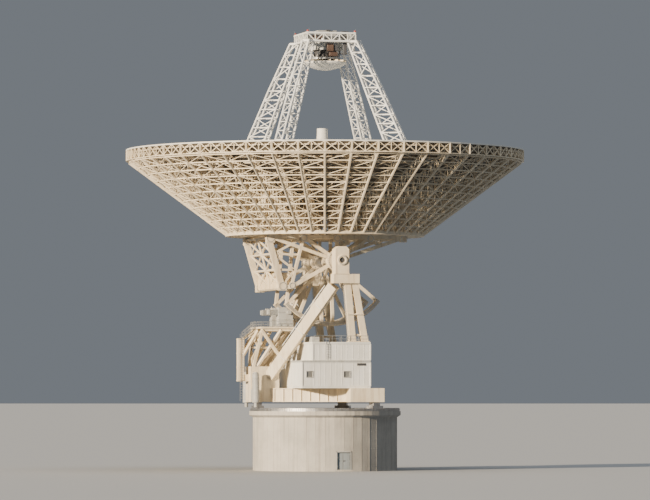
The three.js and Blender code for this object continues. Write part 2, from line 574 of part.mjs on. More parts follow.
// Quadripod leg: two lattice side plates joined by ties, standing on the dish surface.
function buildQuadripod() {
  const outerChord = [[20.6, 11.2], [17.6, 17.6], [14.4, 24], [11.2, 30.4], [6.9, 38.9]];
  const innerChord = [[16.4, 10.2], [13.5, 17.6], [10.8, 24], [8.1, 30.4], [4.6, 38.9]];
  const halfGap = 0.55;
  const sideThick = 0.22;
  const outline = [...outerChord, ...[...innerChord].reverse()];
  const inward = (p, q, d) => {
    const length = Math.hypot(q[0] - p[0], q[1] - p[1]);
    return [p[0] + (q[0] - p[0]) * d / length, p[1] + (q[1] - p[1]) * d / length];
  };
  const upper = outerChord.map((p, i) => inward(p, innerChord[i], 0.18));
  const lower = innerChord.map((p, i) => inward(p, outerChord[i], 0.18));
  const windows = trussWindows(lower, upper, 0.3);
  const pieces = [1, -1].map((side) => plate(outlineShape(outline), windows, side * (halfGap + sideThick / 2),
    sideThick));
  for (const chord of [upper, lower]) {
    for (const [r, z] of chord.slice(1)) {
      pieces.push(bar([r, -halfGap - 0.05, z], [r, halfGap + 0.05, z], 0.3, 0.3, [0, 0, 1]));
    }
  }
  pieces.push(block(16.6, 20.2, -halfGap - 0.05, halfGap + 0.05, 10.9, 12.4));
  const leg = cut(fuse(pieces), [apexCutter()]);
  const below = dishBelow();
  const places = { front_left: 45, rear_left: 135, rear_right: 225, front_right: 315 };
  for (const [name, angle] of Object.entries(places)) {
    addPart(tipping, `quadripod_leg_${name}`, turnedTo(leg, angle).subtract(below), framePaint);
  }
}

const APEX = { bottom: 38.4, top: 40.2, corner: 6.4, plate: 0.4 };

// The square ring at the top of the quadripod, with its corners over the legs.
function apexRing(grow) {
  const { bottom, top, corner, plate: thick } = APEX;
  const side = corner * Math.SQRT1_2 + grow;
  const inner = side - thick - 2 * grow;
  return block(-side, side, -side, side, bottom - grow, top + grow)
    .subtract(block(-inner, inner, -inner, inner, bottom - 1, top + 1));
}

// The apex ring as a leg at azimuth 0 meets it, with all above it taken away too.
function apexCutter() {
  const { bottom, top, corner } = APEX;
  return block(-corner, 2 * corner, -corner, corner, bottom - SEAT, top + 1);
}

function buildApex() {
  const { bottom, top, corner } = APEX;
  const drum = { radius: 3.0, zLow: 35.5, zHigh: 39.6 };
  const arm = [1, -1].flatMap((sign) => [
    bar([-corner * 0.7, sign * 1.6, bottom + 0.4], [corner * 0.7, sign * 1.6, bottom + 0.4], 0.3, 0.6),
    bar([sign * 1.6, -corner * 0.7, bottom + 0.4], [sign * 1.6, corner * 0.7, bottom + 0.4], 0.3, 0.6,
      [1, 0, 0]),
  ]);
  const feet = [45, 135, 225, 315].map((angle) =>
    turnedTo(block(4.5, 6.8, -0.8, 0.8, bottom, bottom + 0.35), angle));
  const drumCut = turned([[0, 30], [drum.radius + SEAT, 30], [drum.radius + SEAT, 45], [0, 45]], 24);
  addPart(tipping, 'apex_frame', fuse([apexRing(0), ...arm, ...feet]).subtract(drumCut), framePaint);
  const drumBody = turned([
    [0, drum.zLow + SEAT], [drum.radius, drum.zLow + SEAT], [drum.radius, drum.zHigh], [0, drum.zHigh],
  ], 24);
  const cabinet = block(-1.7, 1.7, -1.5, 1.5, drum.zHigh - 0.1, top + 0.6);
  addPart(tipping, 'subreflector_positioner', drumBody.add(cabinet), framePaint);
  const lowest = 33.7;
  const radius = 3.85;
  const bulge = [0, 0.35, 0.7, 1].map((part) => [radius * part, lowest + 1.2 * part * part]);
  addPart(tipping, 'subreflector', turned([
    ...bulge, [radius, lowest + 1.4], [2.6, drum.zLow], [0, drum.zLow],
  ], ROUND_SIDES), dishPaint);
}

// Feed tower: a tapered base on the hub with three feed cones on top.
function buildFeeds() {
  const baseBottom = underside(HUB_RADIUS);
  const baseTop = 15.4;
  const coneTops = [21.2, 21.2, 23.4]; // only the tallest shows over the near rim
  addPart(tipping, 'feed_base', turned([
    [0, baseBottom], [4.3, baseBottom], [4.3, 9.6], [3.5, baseTop - SEAT], [0, baseTop - SEAT],
  ], 24), dishPaint);
  coneTops.forEach((coneTop, i) => {
    const outline = [[0, baseTop], [1.5, baseTop], [0.95, coneTop - 0.5], [0.95, coneTop], [0, coneTop]];
    const cone = turned(outline, 20).translate([1.8, 0, 0]);
    addPart(tipping, `feed_cone_${i + 1}`, turnedTo(cone, 120 * i), dishPaint);
  });
}

buildPedestal();
buildBase();
buildAzimuthDrives();
buildPlatform();
buildBuilding();
for (const [name, side] of Object.entries(SIDES)) {
  buildFrontLeg(name, side);
  buildRearLeg(name, side);
  buildBearing(name, side);
  buildElevationDrive(name, side);
  buildSideFrame(name, side);
  buildElevationWheel(name, side);
}
addPart(tipping, 'elevation_axle', roundBar(AXLE_RADIUS, -BEARING.yHigh + 0.5, BEARING.yHigh - 0.5), machinedSteel);
const { xLow, xHigh, zLow, zHigh } = COUNTERWEIGHT;
const insideFrames = SIDE_FRAME.y - SIDE_FRAME.thick / 2 - SEAT;
addPart(tipping, 'counterweight', block(xLow, xHigh, -insideFrames, insideFrames, zLow, zHigh), framePaint);
buildReflector();
buildBackStructure();
buildQuadripod();
buildApex();
buildFeeds();

export default telescope;
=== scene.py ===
# %% [markdown]
# A steerable radio telescope dish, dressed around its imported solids.
# The real telescope is 70 m across and this part is a 1:2 model of it. Every size below is
# the real one in metres, and the helpers that make meshes multiply it by SCALE, once. The
# frame gives the bodies: the pedestal stands still, the alidade turns on it, and the dish
# tips in the alidade.

import json
from math import atan2, cos, pi, radians, sin

import bmesh
import bpy
from mathutils import Matrix, Vector


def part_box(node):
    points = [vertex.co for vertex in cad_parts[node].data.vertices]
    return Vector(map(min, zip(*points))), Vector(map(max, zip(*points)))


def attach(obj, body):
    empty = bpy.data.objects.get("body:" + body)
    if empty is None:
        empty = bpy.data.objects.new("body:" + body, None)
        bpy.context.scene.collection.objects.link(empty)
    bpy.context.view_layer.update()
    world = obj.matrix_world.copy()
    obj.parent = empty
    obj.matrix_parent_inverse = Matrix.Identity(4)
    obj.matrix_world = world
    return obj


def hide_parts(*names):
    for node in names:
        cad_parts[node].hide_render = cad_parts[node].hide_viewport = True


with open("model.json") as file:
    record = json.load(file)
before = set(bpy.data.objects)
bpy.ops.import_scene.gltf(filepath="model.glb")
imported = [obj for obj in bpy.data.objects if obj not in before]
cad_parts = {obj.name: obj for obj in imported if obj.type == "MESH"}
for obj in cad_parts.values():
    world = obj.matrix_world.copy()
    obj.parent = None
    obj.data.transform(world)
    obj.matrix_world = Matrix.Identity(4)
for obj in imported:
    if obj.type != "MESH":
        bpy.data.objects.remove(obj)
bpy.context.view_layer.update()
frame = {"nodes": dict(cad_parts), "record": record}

# %% [markdown]
# Driving sizes come first, as on a drawing. The paraboloid is one formula, and the underside
# of the back structure is one straight chord, so heights anywhere are worked out from those.

# %% Driving sizes
SCALE = 0.5
AXIS = 36.6
FOCUS = 27.05
VERTEX = AXIS + 8.3
RIM_RADIUS = 35.0
RIM_BOTTOM = AXIS + 17.6
HUB_RADIUS = 4.6
RING_RADIUS = 17.2
RING_PLANE = AXIS + 4.4
RIBS = 48
QUARTERS = ["front_left", "rear_left", "rear_right", "front_right"]
SIDES = [("left", 1), ("right", -1)]
SQUARE = (0, 90, 180, 270)
UP = (0, 0, 1)


def dish_height(radius):
    """Height of the reflecting surface at a radius."""
    return VERTEX + radius * radius / (4 * FOCUS)


def chord_height(radius):
    """Height of the back structure's lower chord at a radius."""
    share = max(0.0, (radius - RING_RADIUS) / (RIM_RADIUS - RING_RADIUS))
    return RING_PLANE + share * (RIM_BOTTOM - RING_PLANE)


def tip(x, y, z):
    """A point of the tipping part, with its height measured from the elevation axis."""
    return Vector((x, y, AXIS + z))


def polar(radius, degrees, height):
    """A point at an azimuth round the vertical axis."""
    return Vector((radius * cos(radians(degrees)), radius * sin(radians(degrees)), height))


def steps(start, end, count):
    """Evenly spaced values from start to end, both included."""
    return [start + (end - start) * i / count for i in range(count + 1)]


def spin(degrees, axis="Z"):
    """A matrix that turns things about an axis through the origin."""
    return Matrix.Rotation(radians(degrees), 4, axis)


print("surface", round(VERTEX, 2), "to", round(dish_height(RIM_RADIUS), 2), "m above ground")

# %% [markdown]
# Paint on a telescope this size is never one flat colour: it chalks in the sun, washes down
# in vertical streaks below joints and gathers dust. One recipe makes all the paints, with
# noise on Object coordinates for the chalking, stretched noise for the streaks, and a finer
# noise for bump and roughness. An attribute named tone shifts single bars and panels.

# %% Paint recipe


def shader(name):
    """A new material with its nodes, its principled shader and a helper that links sockets."""
    material = bpy.data.materials.new(name)
    material.use_nodes = True
    nodes = material.node_tree.nodes
    return material, nodes, nodes["Principled BSDF"], material.node_tree.links.new


def noise(nodes, link, scale, detail, stretch=(1, 1, 1)):
    """A noise texture on Object coordinates, stretched by a Mapping node."""
    place = nodes.new("ShaderNodeTexCoord")
    mapping = nodes.new("ShaderNodeMapping")
    texture = nodes.new("ShaderNodeTexNoise")
    mapping.inputs["Scale"].default_value = stretch
    for label, number in (("Scale", scale), ("Detail", detail), ("Roughness", 0.6)):
        texture.inputs[label].default_value = number
    link(place.outputs["Object"], mapping.inputs["Vector"])
    link(mapping.outputs["Vector"], texture.inputs["Vector"])
    return texture.outputs["Fac"]


def between(nodes, link, value, low, high, to_low=0.0, to_high=1.0):
    """Stretches a value from the range low to high into another range, clamped."""
    remap = nodes.new("ShaderNodeMapRange")
    labels = ("From Min", "From Max", "To Min", "To Max")
    for label, number in zip(labels, (low, high, to_low, to_high)):
        remap.inputs[label].default_value = number
    link(value, remap.inputs["Value"])
    return remap.outputs["Result"]


def blend(nodes, link, share, first, second):
    """Mixes two colours, each a socket or a tuple, by the share that a socket gives."""
    mix = nodes.new("ShaderNodeMix")
    mix.data_type = "RGBA"
    link(share, mix.inputs[0])
    for socket, colour in ((mix.inputs[6], first), (mix.inputs[7], second)):
        if isinstance(colour, tuple):
            socket.default_value = (*colour, 1.0)
        else:
            link(colour, socket)
    return mix.outputs[2]


def fine_grain(nodes, link, surface, scale, detail, rough, strength, depth):
    """Fine noise that varies the roughness and raises a slight bump."""
    fine = noise(nodes, link, scale, detail)
    link(between(nodes, link, fine, 0.3, 0.7, *rough), surface.inputs["Roughness"])
    relief = nodes.new("ShaderNodeBump")
    relief.inputs["Strength"].default_value = strength
    relief.inputs["Distance"].default_value = depth
    link(fine, relief.inputs["Height"])
    link(relief.outputs["Normal"], surface.inputs["Normal"])


def weathered(name, fresh, chalked, dirt, rough=(0.45, 0.75), streaks=0.5, metallic=0.0, painted_shade_below=None):
    """Paint or metal with chalk, streaks, specks, a tone for each bar, and, if given, painted shade on
    faces that point down.
    """
    material, nodes, surface, link = shader(name)
    chalk = between(nodes, link, noise(nodes, link, 0.55, 8), 0.38, 0.66)
    colour = blend(nodes, link, chalk, fresh, chalked)
    washed = noise(nodes, link, 1.6, 6, (2.6, 2.6, 0.16))
    streak = between(nodes, link, washed, 0.5, 0.74, 0.0, streaks)
    colour = blend(nodes, link, streak, colour, dirt)
    specks = between(nodes, link, noise(nodes, link, 7.0, 4), 0.66, 0.8, 0.0, 0.35 * streaks)
    colour = blend(nodes, link, specks, colour, dirt)
    # Faces that point down get a dark colour mixed in: painted shade, not a paint of their own.
    if painted_shade_below:
        facing = nodes.new("ShaderNodeSeparateXYZ")
        link(nodes.new("ShaderNodeTexCoord").outputs["Normal"], facing.inputs[0])
        under = between(nodes, link, facing.outputs["Z"], -0.5, -0.2, 1.0, 0.0)
        colour = blend(nodes, link, under, colour, painted_shade_below)
    tone = nodes.new("ShaderNodeAttribute")
    tone.attribute_name = "tone"
    level = nodes.new("ShaderNodeHueSaturation")
    link(colour, level.inputs["Color"])
    link(between(nodes, link, tone.outputs["Fac"], -0.5, 0.5, 0.82, 1.18), level.inputs["Value"])
    link(level.outputs["Color"], surface.inputs["Base Color"])
    fine_grain(nodes, link, surface, 9.0, 6, rough, 0.15, 0.01)
    surface.inputs["Metallic"].default_value = metallic
    return material


CREAM = ((0.86, 0.84, 0.78), (0.79, 0.76, 0.68), (0.5, 0.45, 0.38))
frame_paint = weathered("frame_paint", (0.87, 0.76, 0.57), (0.77, 0.65, 0.46), (0.36, 0.25, 0.15))
dish_paint = weathered("dish_paint", *CREAM, streaks=0.2)
# The panel faces that point down are painted nearly black, which is painted shade under the reflector.
panel_paint_and_painted_shade = weathered("panel_paint_and_painted_shade", *CREAM, streaks=0.2, painted_shade_below=(0.15, 0.13, 0.105))
wall_paint = weathered("wall_paint", (0.88, 0.87, 0.83), (0.8, 0.78, 0.72), (0.48, 0.42, 0.34),
                       streaks=0.35)
leg_paint = weathered("leg_paint", (0.86, 0.86, 0.84), (0.77, 0.76, 0.72), (0.45, 0.4, 0.33), streaks=0.3)
grey_paint = weathered("grey_paint", (0.5, 0.5, 0.48), (0.42, 0.42, 0.4), (0.22, 0.17, 0.12))
door_paint = weathered("door_paint", (0.24, 0.29, 0.31), (0.3, 0.33, 0.34), (0.14, 0.11, 0.09))
machined_steel = weathered("machined_steel", (0.5, 0.5, 0.5), (0.42, 0.41, 0.4), (0.2, 0.13, 0.08),
                           rough=(0.28, 0.55), metallic=0.9)
galvanized = weathered("galvanized", (0.56, 0.57, 0.57), (0.46, 0.47, 0.47), (0.3, 0.26, 0.22),
                       rough=(0.35, 0.6), metallic=0.7)
# A near black for holes, slots and openings: painted shade where their depth would be dark.
painted_shade_black = weathered("painted_shade_black", (0.05, 0.05, 0.055), (0.08, 0.08, 0.08), (0.03, 0.03, 0.03), streaks=0.2)
oxide_red = weathered("oxide_red", (0.085, 0.05, 0.038), (0.13, 0.085, 0.065), (0.04, 0.025, 0.02))
slate_paint = weathered("slate_paint", (0.06, 0.065, 0.075), (0.09, 0.09, 0.1), (0.04, 0.035, 0.03))
beacon_red = weathered("beacon_red", (0.5, 0.05, 0.03), (0.42, 0.06, 0.04), (0.2, 0.04, 0.03),
                       rough=(0.15, 0.3), streaks=0.2)
print("paints ready")

# %% [markdown]
# Poured concrete shows where it came from: it is cloudy, it has small pores, and rain has
# drawn dark runs down it from the roof. Noise of three sizes gives those. The upright joints
# of the shuttering are real ribs, which are added to the wall further down.

# %% Concrete


def cast_concrete(name):
    """Grey concrete with cloudy patches, dark runs and small blow holes."""
    material, nodes, surface, link = shader(name)
    patch = between(nodes, link, noise(nodes, link, 0.45, 9), 0.35, 0.68)
    colour = blend(nodes, link, patch, (0.56, 0.52, 0.45), (0.42, 0.39, 0.34))
    runs = between(nodes, link, noise(nodes, link, 1.3, 7, (3.0, 3.0, 0.12)), 0.5, 0.78, 0.0, 0.6)
    colour = blend(nodes, link, runs, colour, (0.2, 0.17, 0.14))
    pores = between(nodes, link, noise(nodes, link, 30.0, 2), 0.28, 0.36)
    colour = blend(nodes, link, pores, (0.18, 0.16, 0.14), colour)
    link(colour, surface.inputs["Base Color"])
    fine_grain(nodes, link, surface, 22.0, 8, (0.75, 0.95), 0.5, 0.015)
    return material


concrete = cast_concrete("concrete")

FINISHES = {
    "concrete": concrete, "frame_paint": frame_paint, "dish_paint": dish_paint, "wall_paint": wall_paint,
    "grey_paint": grey_paint, "door_paint": door_paint, "machined_steel": machined_steel,
}
for entry in frame["record"]["subparts"]:
    node = frame["nodes"][entry["node"]]
    node.data.materials.clear()
    node.data.materials.append(FINISHES[entry["material_slot"]])
print("finishes on", len(frame["nodes"]), "solids")

# %% [markdown]
# Geometry Nodes do the repeating work. Three small trees make nearly everything here: one
# turns a mesh of loose edges into bars of square or round section, one copies a piece round
# an axis, and one sets bolt heads on points. Each is built once, with named inputs, and is
# run on many pieces. The result is read back as a plain mesh, so nothing is left live.

# %% Geometry Nodes trees
TONE_SEED = 7


def new_tree(name, inputs):
    """An empty tree with a geometry input and output, the named inputs, and a material."""
    tree = bpy.data.node_groups.new(name, "GeometryNodeTree")
    tree.interface.new_socket("Geometry", in_out="INPUT", socket_type="NodeSocketGeometry")
    for label, kind in inputs + [("Material", "Material")]:
        tree.interface.new_socket(label, in_out="INPUT", socket_type="NodeSocket" + kind)
    tree.interface.new_socket("Geometry", in_out="OUTPUT", socket_type="NodeSocketGeometry")
    return tree, tree.nodes.new("NodeGroupInput"), tree.links.new


def chain(tree, source, geometry, kinds):
    """Geometry nodes one behind the other, which end in Realize Instances and Set Material."""
    made = {}
    for kind in kinds + ["RealizeInstances", "SetMaterial"]:
        made[kind] = tree.nodes.new("GeometryNode" + kind)
        tree.links.new(geometry, made[kind].inputs[0])
        geometry = made[kind].outputs[0]
    tree.links.new(source.outputs["Material"], made["SetMaterial"].inputs["Material"])
    tree.links.new(geometry, tree.nodes.new("NodeGroupOutput").inputs["Geometry"])
    return made


def store_random_tone(tree, source, store, domain):
    """Stores a seeded random number from minus to plus half the Tone input, named tone."""
    store.domain = domain
    store.inputs["Name"].default_value = "tone"
    chance = tree.nodes.new("FunctionNodeRandomValue")
    chance.inputs["Seed"].default_value = TONE_SEED
    for limit, share in ((2, -0.5), (3, 0.5)):
        part = tree.nodes.new("ShaderNodeMath")
        part.operation = "MULTIPLY"
        part.inputs[1].default_value = share
        tree.links.new(source.outputs["Tone"], part.inputs[0])
        tree.links.new(part.outputs[0], chance.inputs[limit])
    tree.links.new(chance.outputs[1], store.inputs["Value"])


def bars_tree():
    """Loose edges to bars: each edge becomes a capped bar with a random tone."""
    tree, source, link = new_tree("edges_to_bars", [
        ("Radius", "Float"), ("Sides", "Int"), ("Tone", "Float")])
    profile = tree.nodes.new("GeometryNodeCurvePrimitiveCircle")
    square_on = tree.nodes.new("GeometryNodeTransform")
    square_on.inputs["Rotation"].default_value = (0, 0, pi / 4)
    link(source.outputs["Sides"], profile.inputs["Resolution"])
    link(source.outputs["Radius"], profile.inputs["Radius"])
    link(profile.outputs["Curve"], square_on.inputs["Geometry"])
    made = chain(tree, source, source.outputs["Geometry"], [
        "MeshToCurve", "SetCurveNormal", "StoreNamedAttribute", "CurveToMesh", "SetShadeSmooth"])
    made["SetCurveNormal"].mode = "Z_UP"
    store_random_tone(tree, source, made["StoreNamedAttribute"], "CURVE")
    link(square_on.outputs["Geometry"], made["CurveToMesh"].inputs["Profile Curve"])
    made["CurveToMesh"].inputs["Fill Caps"].default_value = True
    made["SetShadeSmooth"].inputs["Shade Smooth"].default_value = False
    return tree


def turned_copies_tree():
    """Copies of a piece turned round an axis, each with a random tone."""
    tree, source, link = new_tree("turned_copies", [
        ("Count", "Int"), ("Step", "Float"), ("Start", "Float"), ("Axis", "Vector"), ("Pivot", "Vector"),
        ("Tone", "Float")])
    made = chain(tree, source, source.outputs["Geometry"], [
        "GeometryToInstance", "DuplicateElements", "RotateInstances", "StoreNamedAttribute"])
    copies = made["DuplicateElements"]
    copies.domain = "INSTANCE"
    link(source.outputs["Count"], copies.inputs["Amount"])
    turn = tree.nodes.new("ShaderNodeMath")
    turn.operation = "MULTIPLY_ADD"
    angle_parts = (copies.outputs["Duplicate Index"], source.outputs["Step"], source.outputs["Start"])
    for part, socket in zip(angle_parts, turn.inputs):
        link(part, socket)
    about = tree.nodes.new("ShaderNodeVectorMath")
    about.operation = "SCALE"
    link(source.outputs["Axis"], about.inputs[0])
    link(turn.outputs[0], about.inputs["Scale"])
    rotate = made["RotateInstances"]
    rotate.inputs["Local Space"].default_value = False
    link(about.outputs[0], rotate.inputs["Rotation"])
    link(source.outputs["Pivot"], rotate.inputs["Pivot Point"])
    store_random_tone(tree, source, made["StoreNamedAttribute"], "INSTANCE")
    return tree


def bolts_tree():
    """Hexagonal heads on points, each standing along the point's own facing vector."""
    tree, source, link = new_tree("bolts_on_points", [
        ("Radius", "Float"), ("Height", "Float"), ("Sides", "Int")])
    head = tree.nodes.new("GeometryNodeMeshCylinder")
    facing = tree.nodes.new("GeometryNodeInputNamedAttribute")
    facing.data_type = "FLOAT_VECTOR"
    facing.inputs["Name"].default_value = "facing"
    align = tree.nodes.new("FunctionNodeAlignRotationToVector")
    for label, socket in (("Sides", "Vertices"), ("Radius", "Radius"), ("Height", "Depth")):
        link(source.outputs[label], head.inputs[socket])
    link(facing.outputs[0], align.inputs["Vector"])
    made = chain(tree, source, source.outputs["Geometry"], ["InstanceOnPoints"])
    link(head.outputs["Mesh"], made["InstanceOnPoints"].inputs["Instance"])
    link(align.outputs[0], made["InstanceOnPoints"].inputs["Rotation"])
    return tree


BARS = bars_tree()
TURNED = turned_copies_tree()
BOLTS = bolts_tree()


def grow(name, mesh, tree, values):
    """Runs a tree over a mesh and returns the result as a plain object."""
    seed = bpy.data.objects.new(name + "_seed", mesh)
    bpy.context.collection.objects.link(seed)
    modifier = seed.modifiers.new("grow", "NODES")
    modifier.node_group = tree
    for item in tree.interface.items_tree:
        if item.in_out == "INPUT" and item.name in values:
            modifier[item.identifier] = values[item.name]
    graph = bpy.context.evaluated_depsgraph_get()
    made = bpy.data.meshes.new_from_object(seed.evaluated_get(graph))
    bpy.data.objects.remove(seed)
    return placed(name, made)


def placed(name, mesh):
    """A mesh as an object in the scene."""
    piece = bpy.data.objects.new(name, mesh)
    bpy.context.collection.objects.link(piece)
    return piece


def bar_set(name, bars, radius, material, sides=4, tone=0.3):
    """Bars between pairs of points. The radius is from the middle to a corner."""
    mesh = bpy.data.meshes.new(name)
    points = [tuple(Vector(point) * SCALE) for bar in bars for point in bar]
    mesh.from_pydata(points, [(2 * i, 2 * i + 1) for i in range(len(bars))], [])
    return grow(name, mesh, BARS, {
        "Radius": radius * SCALE, "Sides": sides, "Tone": tone, "Material": material})


def turned_copies(name, piece, count, step, start, material, tone=0.0, axis=UP, pivot=(0, 0, 0)):
    """Copies of a piece's mesh turned round an axis, angles in degrees. The piece is used up."""
    mesh = piece.data
    bpy.data.objects.remove(piece)
    return grow(name, mesh, TURNED, {
        "Count": count, "Step": radians(step), "Start": radians(start), "Axis": axis,
        "Pivot": tuple(Vector(pivot) * SCALE), "Tone": tone, "Material": material,
    })


def heads(name, places, radius, height, material, sides=6):
    """Bolt heads or studs. Each place is a point and the way the head faces."""
    mesh = bpy.data.meshes.new(name)
    mesh.from_pydata([tuple(Vector(point) * SCALE) for point, _ in places], [], [])
    facing = mesh.attributes.new("facing", "FLOAT_VECTOR", "POINT")
    for item, (_, way) in zip(facing.data, places):
        item.vector = tuple(way)
    return grow(name, mesh, BOLTS, {
        "Radius": radius * SCALE, "Height": height * SCALE, "Sides": sides, "Material": material})


def assemble(name, body, parts, replaces=()):
    """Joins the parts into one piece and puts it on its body."""
    piece = parts[0]
    if len(parts) > 1:
        for other in bpy.context.selected_objects:
            other.select_set(False)
        for part in parts:
            part.select_set(True)
        bpy.context.view_layer.objects.active = piece
        bpy.ops.object.join()
    piece.name = name
    piece.data.name = name
    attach(piece, body)
    if replaces:
        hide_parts(*replaces)
    print(name, len(piece.data.polygons), "faces on", body)


# %% [markdown]
# Plain steelwork needs only a few shapes: flat plates and boxes, bodies turned on a lathe,
# circles of bolts, railings and ladders. Each helper takes sizes and places and gives back
# one mesh object or a list of places, so that a sub-part below is a short list of its parts.

# %% Steelwork shapes
SHARP_ANGLE = 35


def mesh_piece(name, points, faces, material):
    """A plain object from points and faces, with its normals made to face outward."""
    mesh = bpy.data.meshes.new(name)
    mesh.from_pydata([tuple(Vector(point) * SCALE) for point in points], [], faces)
    work = bmesh.new()
    work.from_mesh(mesh)
    bmesh.ops.recalc_face_normals(work, faces=work.faces)
    work.to_mesh(mesh)
    work.free()
    mesh.materials.append(material)
    return placed(name, mesh)


def slabs(name, boxes, material, bevel=0.0):
    """Boxes as one piece. Each is (low, high), or (low, high, matrix) to place it turned."""
    work = bmesh.new()
    for low, high, *turned in boxes:
        low, high = Vector(low), Vector(high)
        place = turned[0] if turned else Matrix.Identity(4)
        size = Matrix.Diagonal((*(high - low), 1.0))
        place = Matrix.Scale(SCALE, 4) @ place @ Matrix.Translation((low + high) / 2) @ size
        bmesh.ops.create_cube(work, size=1.0, matrix=place)
    if bevel:
        bmesh.ops.bevel(work, geom=list(work.edges), offset=bevel * SCALE, segments=1, affect="EDGES")
    bmesh.ops.recalc_face_normals(work, faces=work.faces)
    mesh = bpy.data.meshes.new(name)
    work.to_mesh(mesh)
    work.free()
    mesh.materials.append(material)
    return placed(name, mesh)


def block(middle, half, *turned):
    """A box for slabs, given by its middle and its half sizes."""
    return (Vector(middle) - Vector(half), Vector(middle) + Vector(half), *turned)


def lathe(name, profile, material, sides=64, centre=(0, 0, 0), axis="Z"):
    """A closed body turned from (radius, height) points that start and end on the axis."""
    points, faces, rows = [], [], []
    for radius, height in profile:
        count = sides if radius else 1
        rows.append([len(points) + i for i in range(count)])
        points += [polar(radius, 360 * i / sides, height) for i in range(count)]
    for a, b in zip(rows, rows[1:]):
        for i in range(sides):
            j = (i + 1) % sides
            corners = [a[i % len(a)], a[j % len(a)], b[j % len(b)], b[i % len(b)]]
            faces.append(tuple(dict.fromkeys(corners)))
    faces = [face for face in faces if len(face) > 2]
    place = Matrix.Translation(centre) @ spin(-90 if axis == "Y" else 0, "X")
    piece = mesh_piece(name, [place @ point for point in points], faces, material)
    for polygon in piece.data.polygons:
        polygon.use_smooth = True
    piece.data.set_sharp_from_angle(angle=radians(SHARP_ANGLE))
    return piece


def level_circle(count, radius, height):
    """Bolt places round the vertical axis, facing up."""
    return [(polar(radius, 360 * i / count, height), UP) for i in range(count)]


def upright_circle(count, centre, radius, face):
    """Bolt places round a centre in a wall that faces plus or minus Y."""
    spots = [polar(radius, 360 * i / count, 0) for i in range(count)]
    return [(centre + Vector((spot.x, 0, spot.y)), (0, face, 0)) for spot in spots]


def railing_bars(path, height=1.1, pitch=1.6):
    """Posts and two rails along a path of points, with a single post at each corner."""
    rise = Vector((0, 0, height))
    path = [Vector(point) for point in path]
    closed = (path[-1] - path[0]).length < 0.001
    bars = [] if closed else [(path[0], path[0] + rise)]
    for a, b in zip(path, path[1:]):
        count = max(1, round((b - a).length / pitch))
        spots = [a.lerp(b, i / count) for i in range(1, count + 1)]
        bars += [(spot, spot + rise) for spot in spots]
        bars += [(a + rise, b + rise), (a + rise * 0.5, b + rise * 0.5)]
    return bars


def ladder_bars(foot, head, across=(1, 0, 0), width=0.5, pitch=0.45):
    """Two stringers and the rungs between them. The across vector says which way the rungs run."""
    foot, head = Vector(foot), Vector(head)
    half = Vector(across).normalized() * width / 2
    count = round((head - foot).length / pitch)
    bars = [(foot - half, head - half), (foot + half, head + half)]
    for i in range(1, count):
        spot = foot.lerp(head, i / count)
        bars.append((spot - half, spot + half))
    return bars


print("helpers ready")

# %% [markdown]
# The back of the dish is what the photograph shows most of: 48 radial trusses, tied by hoops
# all the way out to the rim. It could be modelled bar by bar, but every bar joins two points
# that a formula gives, so the points are computed and the bars tree gives them thickness.
# The ribs are deepest at the bearing ring and taper to the rim along one straight chord.

# %% Rib stations
LATTICE_INNER, LATTICE_OUTER = 4.8, 34.45
INNER_STATIONS = steps(LATTICE_INNER, RING_RADIUS, 4)
OUTER_STATIONS = steps(RING_RADIUS, LATTICE_OUTER, 11)
STATIONS = INNER_STATIONS + OUTER_STATIONS[1:]
BAYS = range(len(STATIONS) - 1)
SWAY_STATIONS = (0, 4, 7, 10, 13)
RIB_STEP = 360 / RIBS
LOW_CHORD, TOP_CHORD, HOOP, WEB, FACE_BRACE = 0.23, 0.14, 0.13, 0.1, 0.065
TOP_DROP = 0.36


def top_node(station, rib):
    """Upper node of a rib, just under the reflector panels."""
    return polar(STATIONS[station], rib * RIB_STEP, dish_height(STATIONS[station]) - TOP_DROP)


def low_node(station, rib):
    """Lower node of a rib, on the straight lower chord."""
    return polar(STATIONS[station], rib * RIB_STEP, chord_height(STATIONS[station]) + LOW_CHORD)


def rib_chord(rib, node):
    """The upper or the lower chord of one radial truss."""
    return [(node(s, rib), node(s + 1, rib)) for s in BAYS]


def rib_web(rib):
    """Posts and one diagonal a bay, which falls inward inside the ring and outward beyond it."""
    bars = [(top_node(s, rib), low_node(s, rib)) for s in range(len(STATIONS))]
    for s in BAYS:
        start, end = (low_node, top_node) if STATIONS[s] >= RING_RADIUS else (top_node, low_node)
        bars.append((start(s, rib), end(s + 1, rib)))
    return bars


def hoops(rib):
    """The hoop bars from one rib to the next, at the bottom and the top."""
    return [(node(s, rib), node(s, rib + 1))
            for s in range(len(STATIONS)) for node in (low_node, top_node)]


def face_braces(rib):
    """Diagonals in the sloping face, in a zigzag from hoop to hoop, and sway bars between ribs."""
    bars = []
    for s in BAYS:
        lean = (rib + s) % 2
        bars.append((low_node(s, rib + lean), low_node(s + 1, rib + 1 - lean)))
    lean = rib % 2
    return bars + [(low_node(s, rib + lean), top_node(s, rib + 1 - lean)) for s in SWAY_STATIONS]


print(len(STATIONS), "stations on", RIBS, "ribs")

# %% [markdown]
# A quarter of the back structure is twelve bays, centred on its quadripod leg. The lower
# chords are stout, because they are what the photograph shows as pale rays; hoops, web and
# face bracing are each a size lighter. The ring at the foot of the sloping face is a box
# girder: it carries every rib, and is the bright line under the dish.

# %% Back structure
RING_PARTS = 24
RING_GIRDER = 0.4


def ring_bars(radius, height, first):
    """Short bars that follow a quarter of a circle from an azimuth."""
    turns = steps(first, first + 90, RING_PARTS)
    return [(polar(radius, a, height), polar(radius, b, height)) for a, b in zip(turns, turns[1:])]


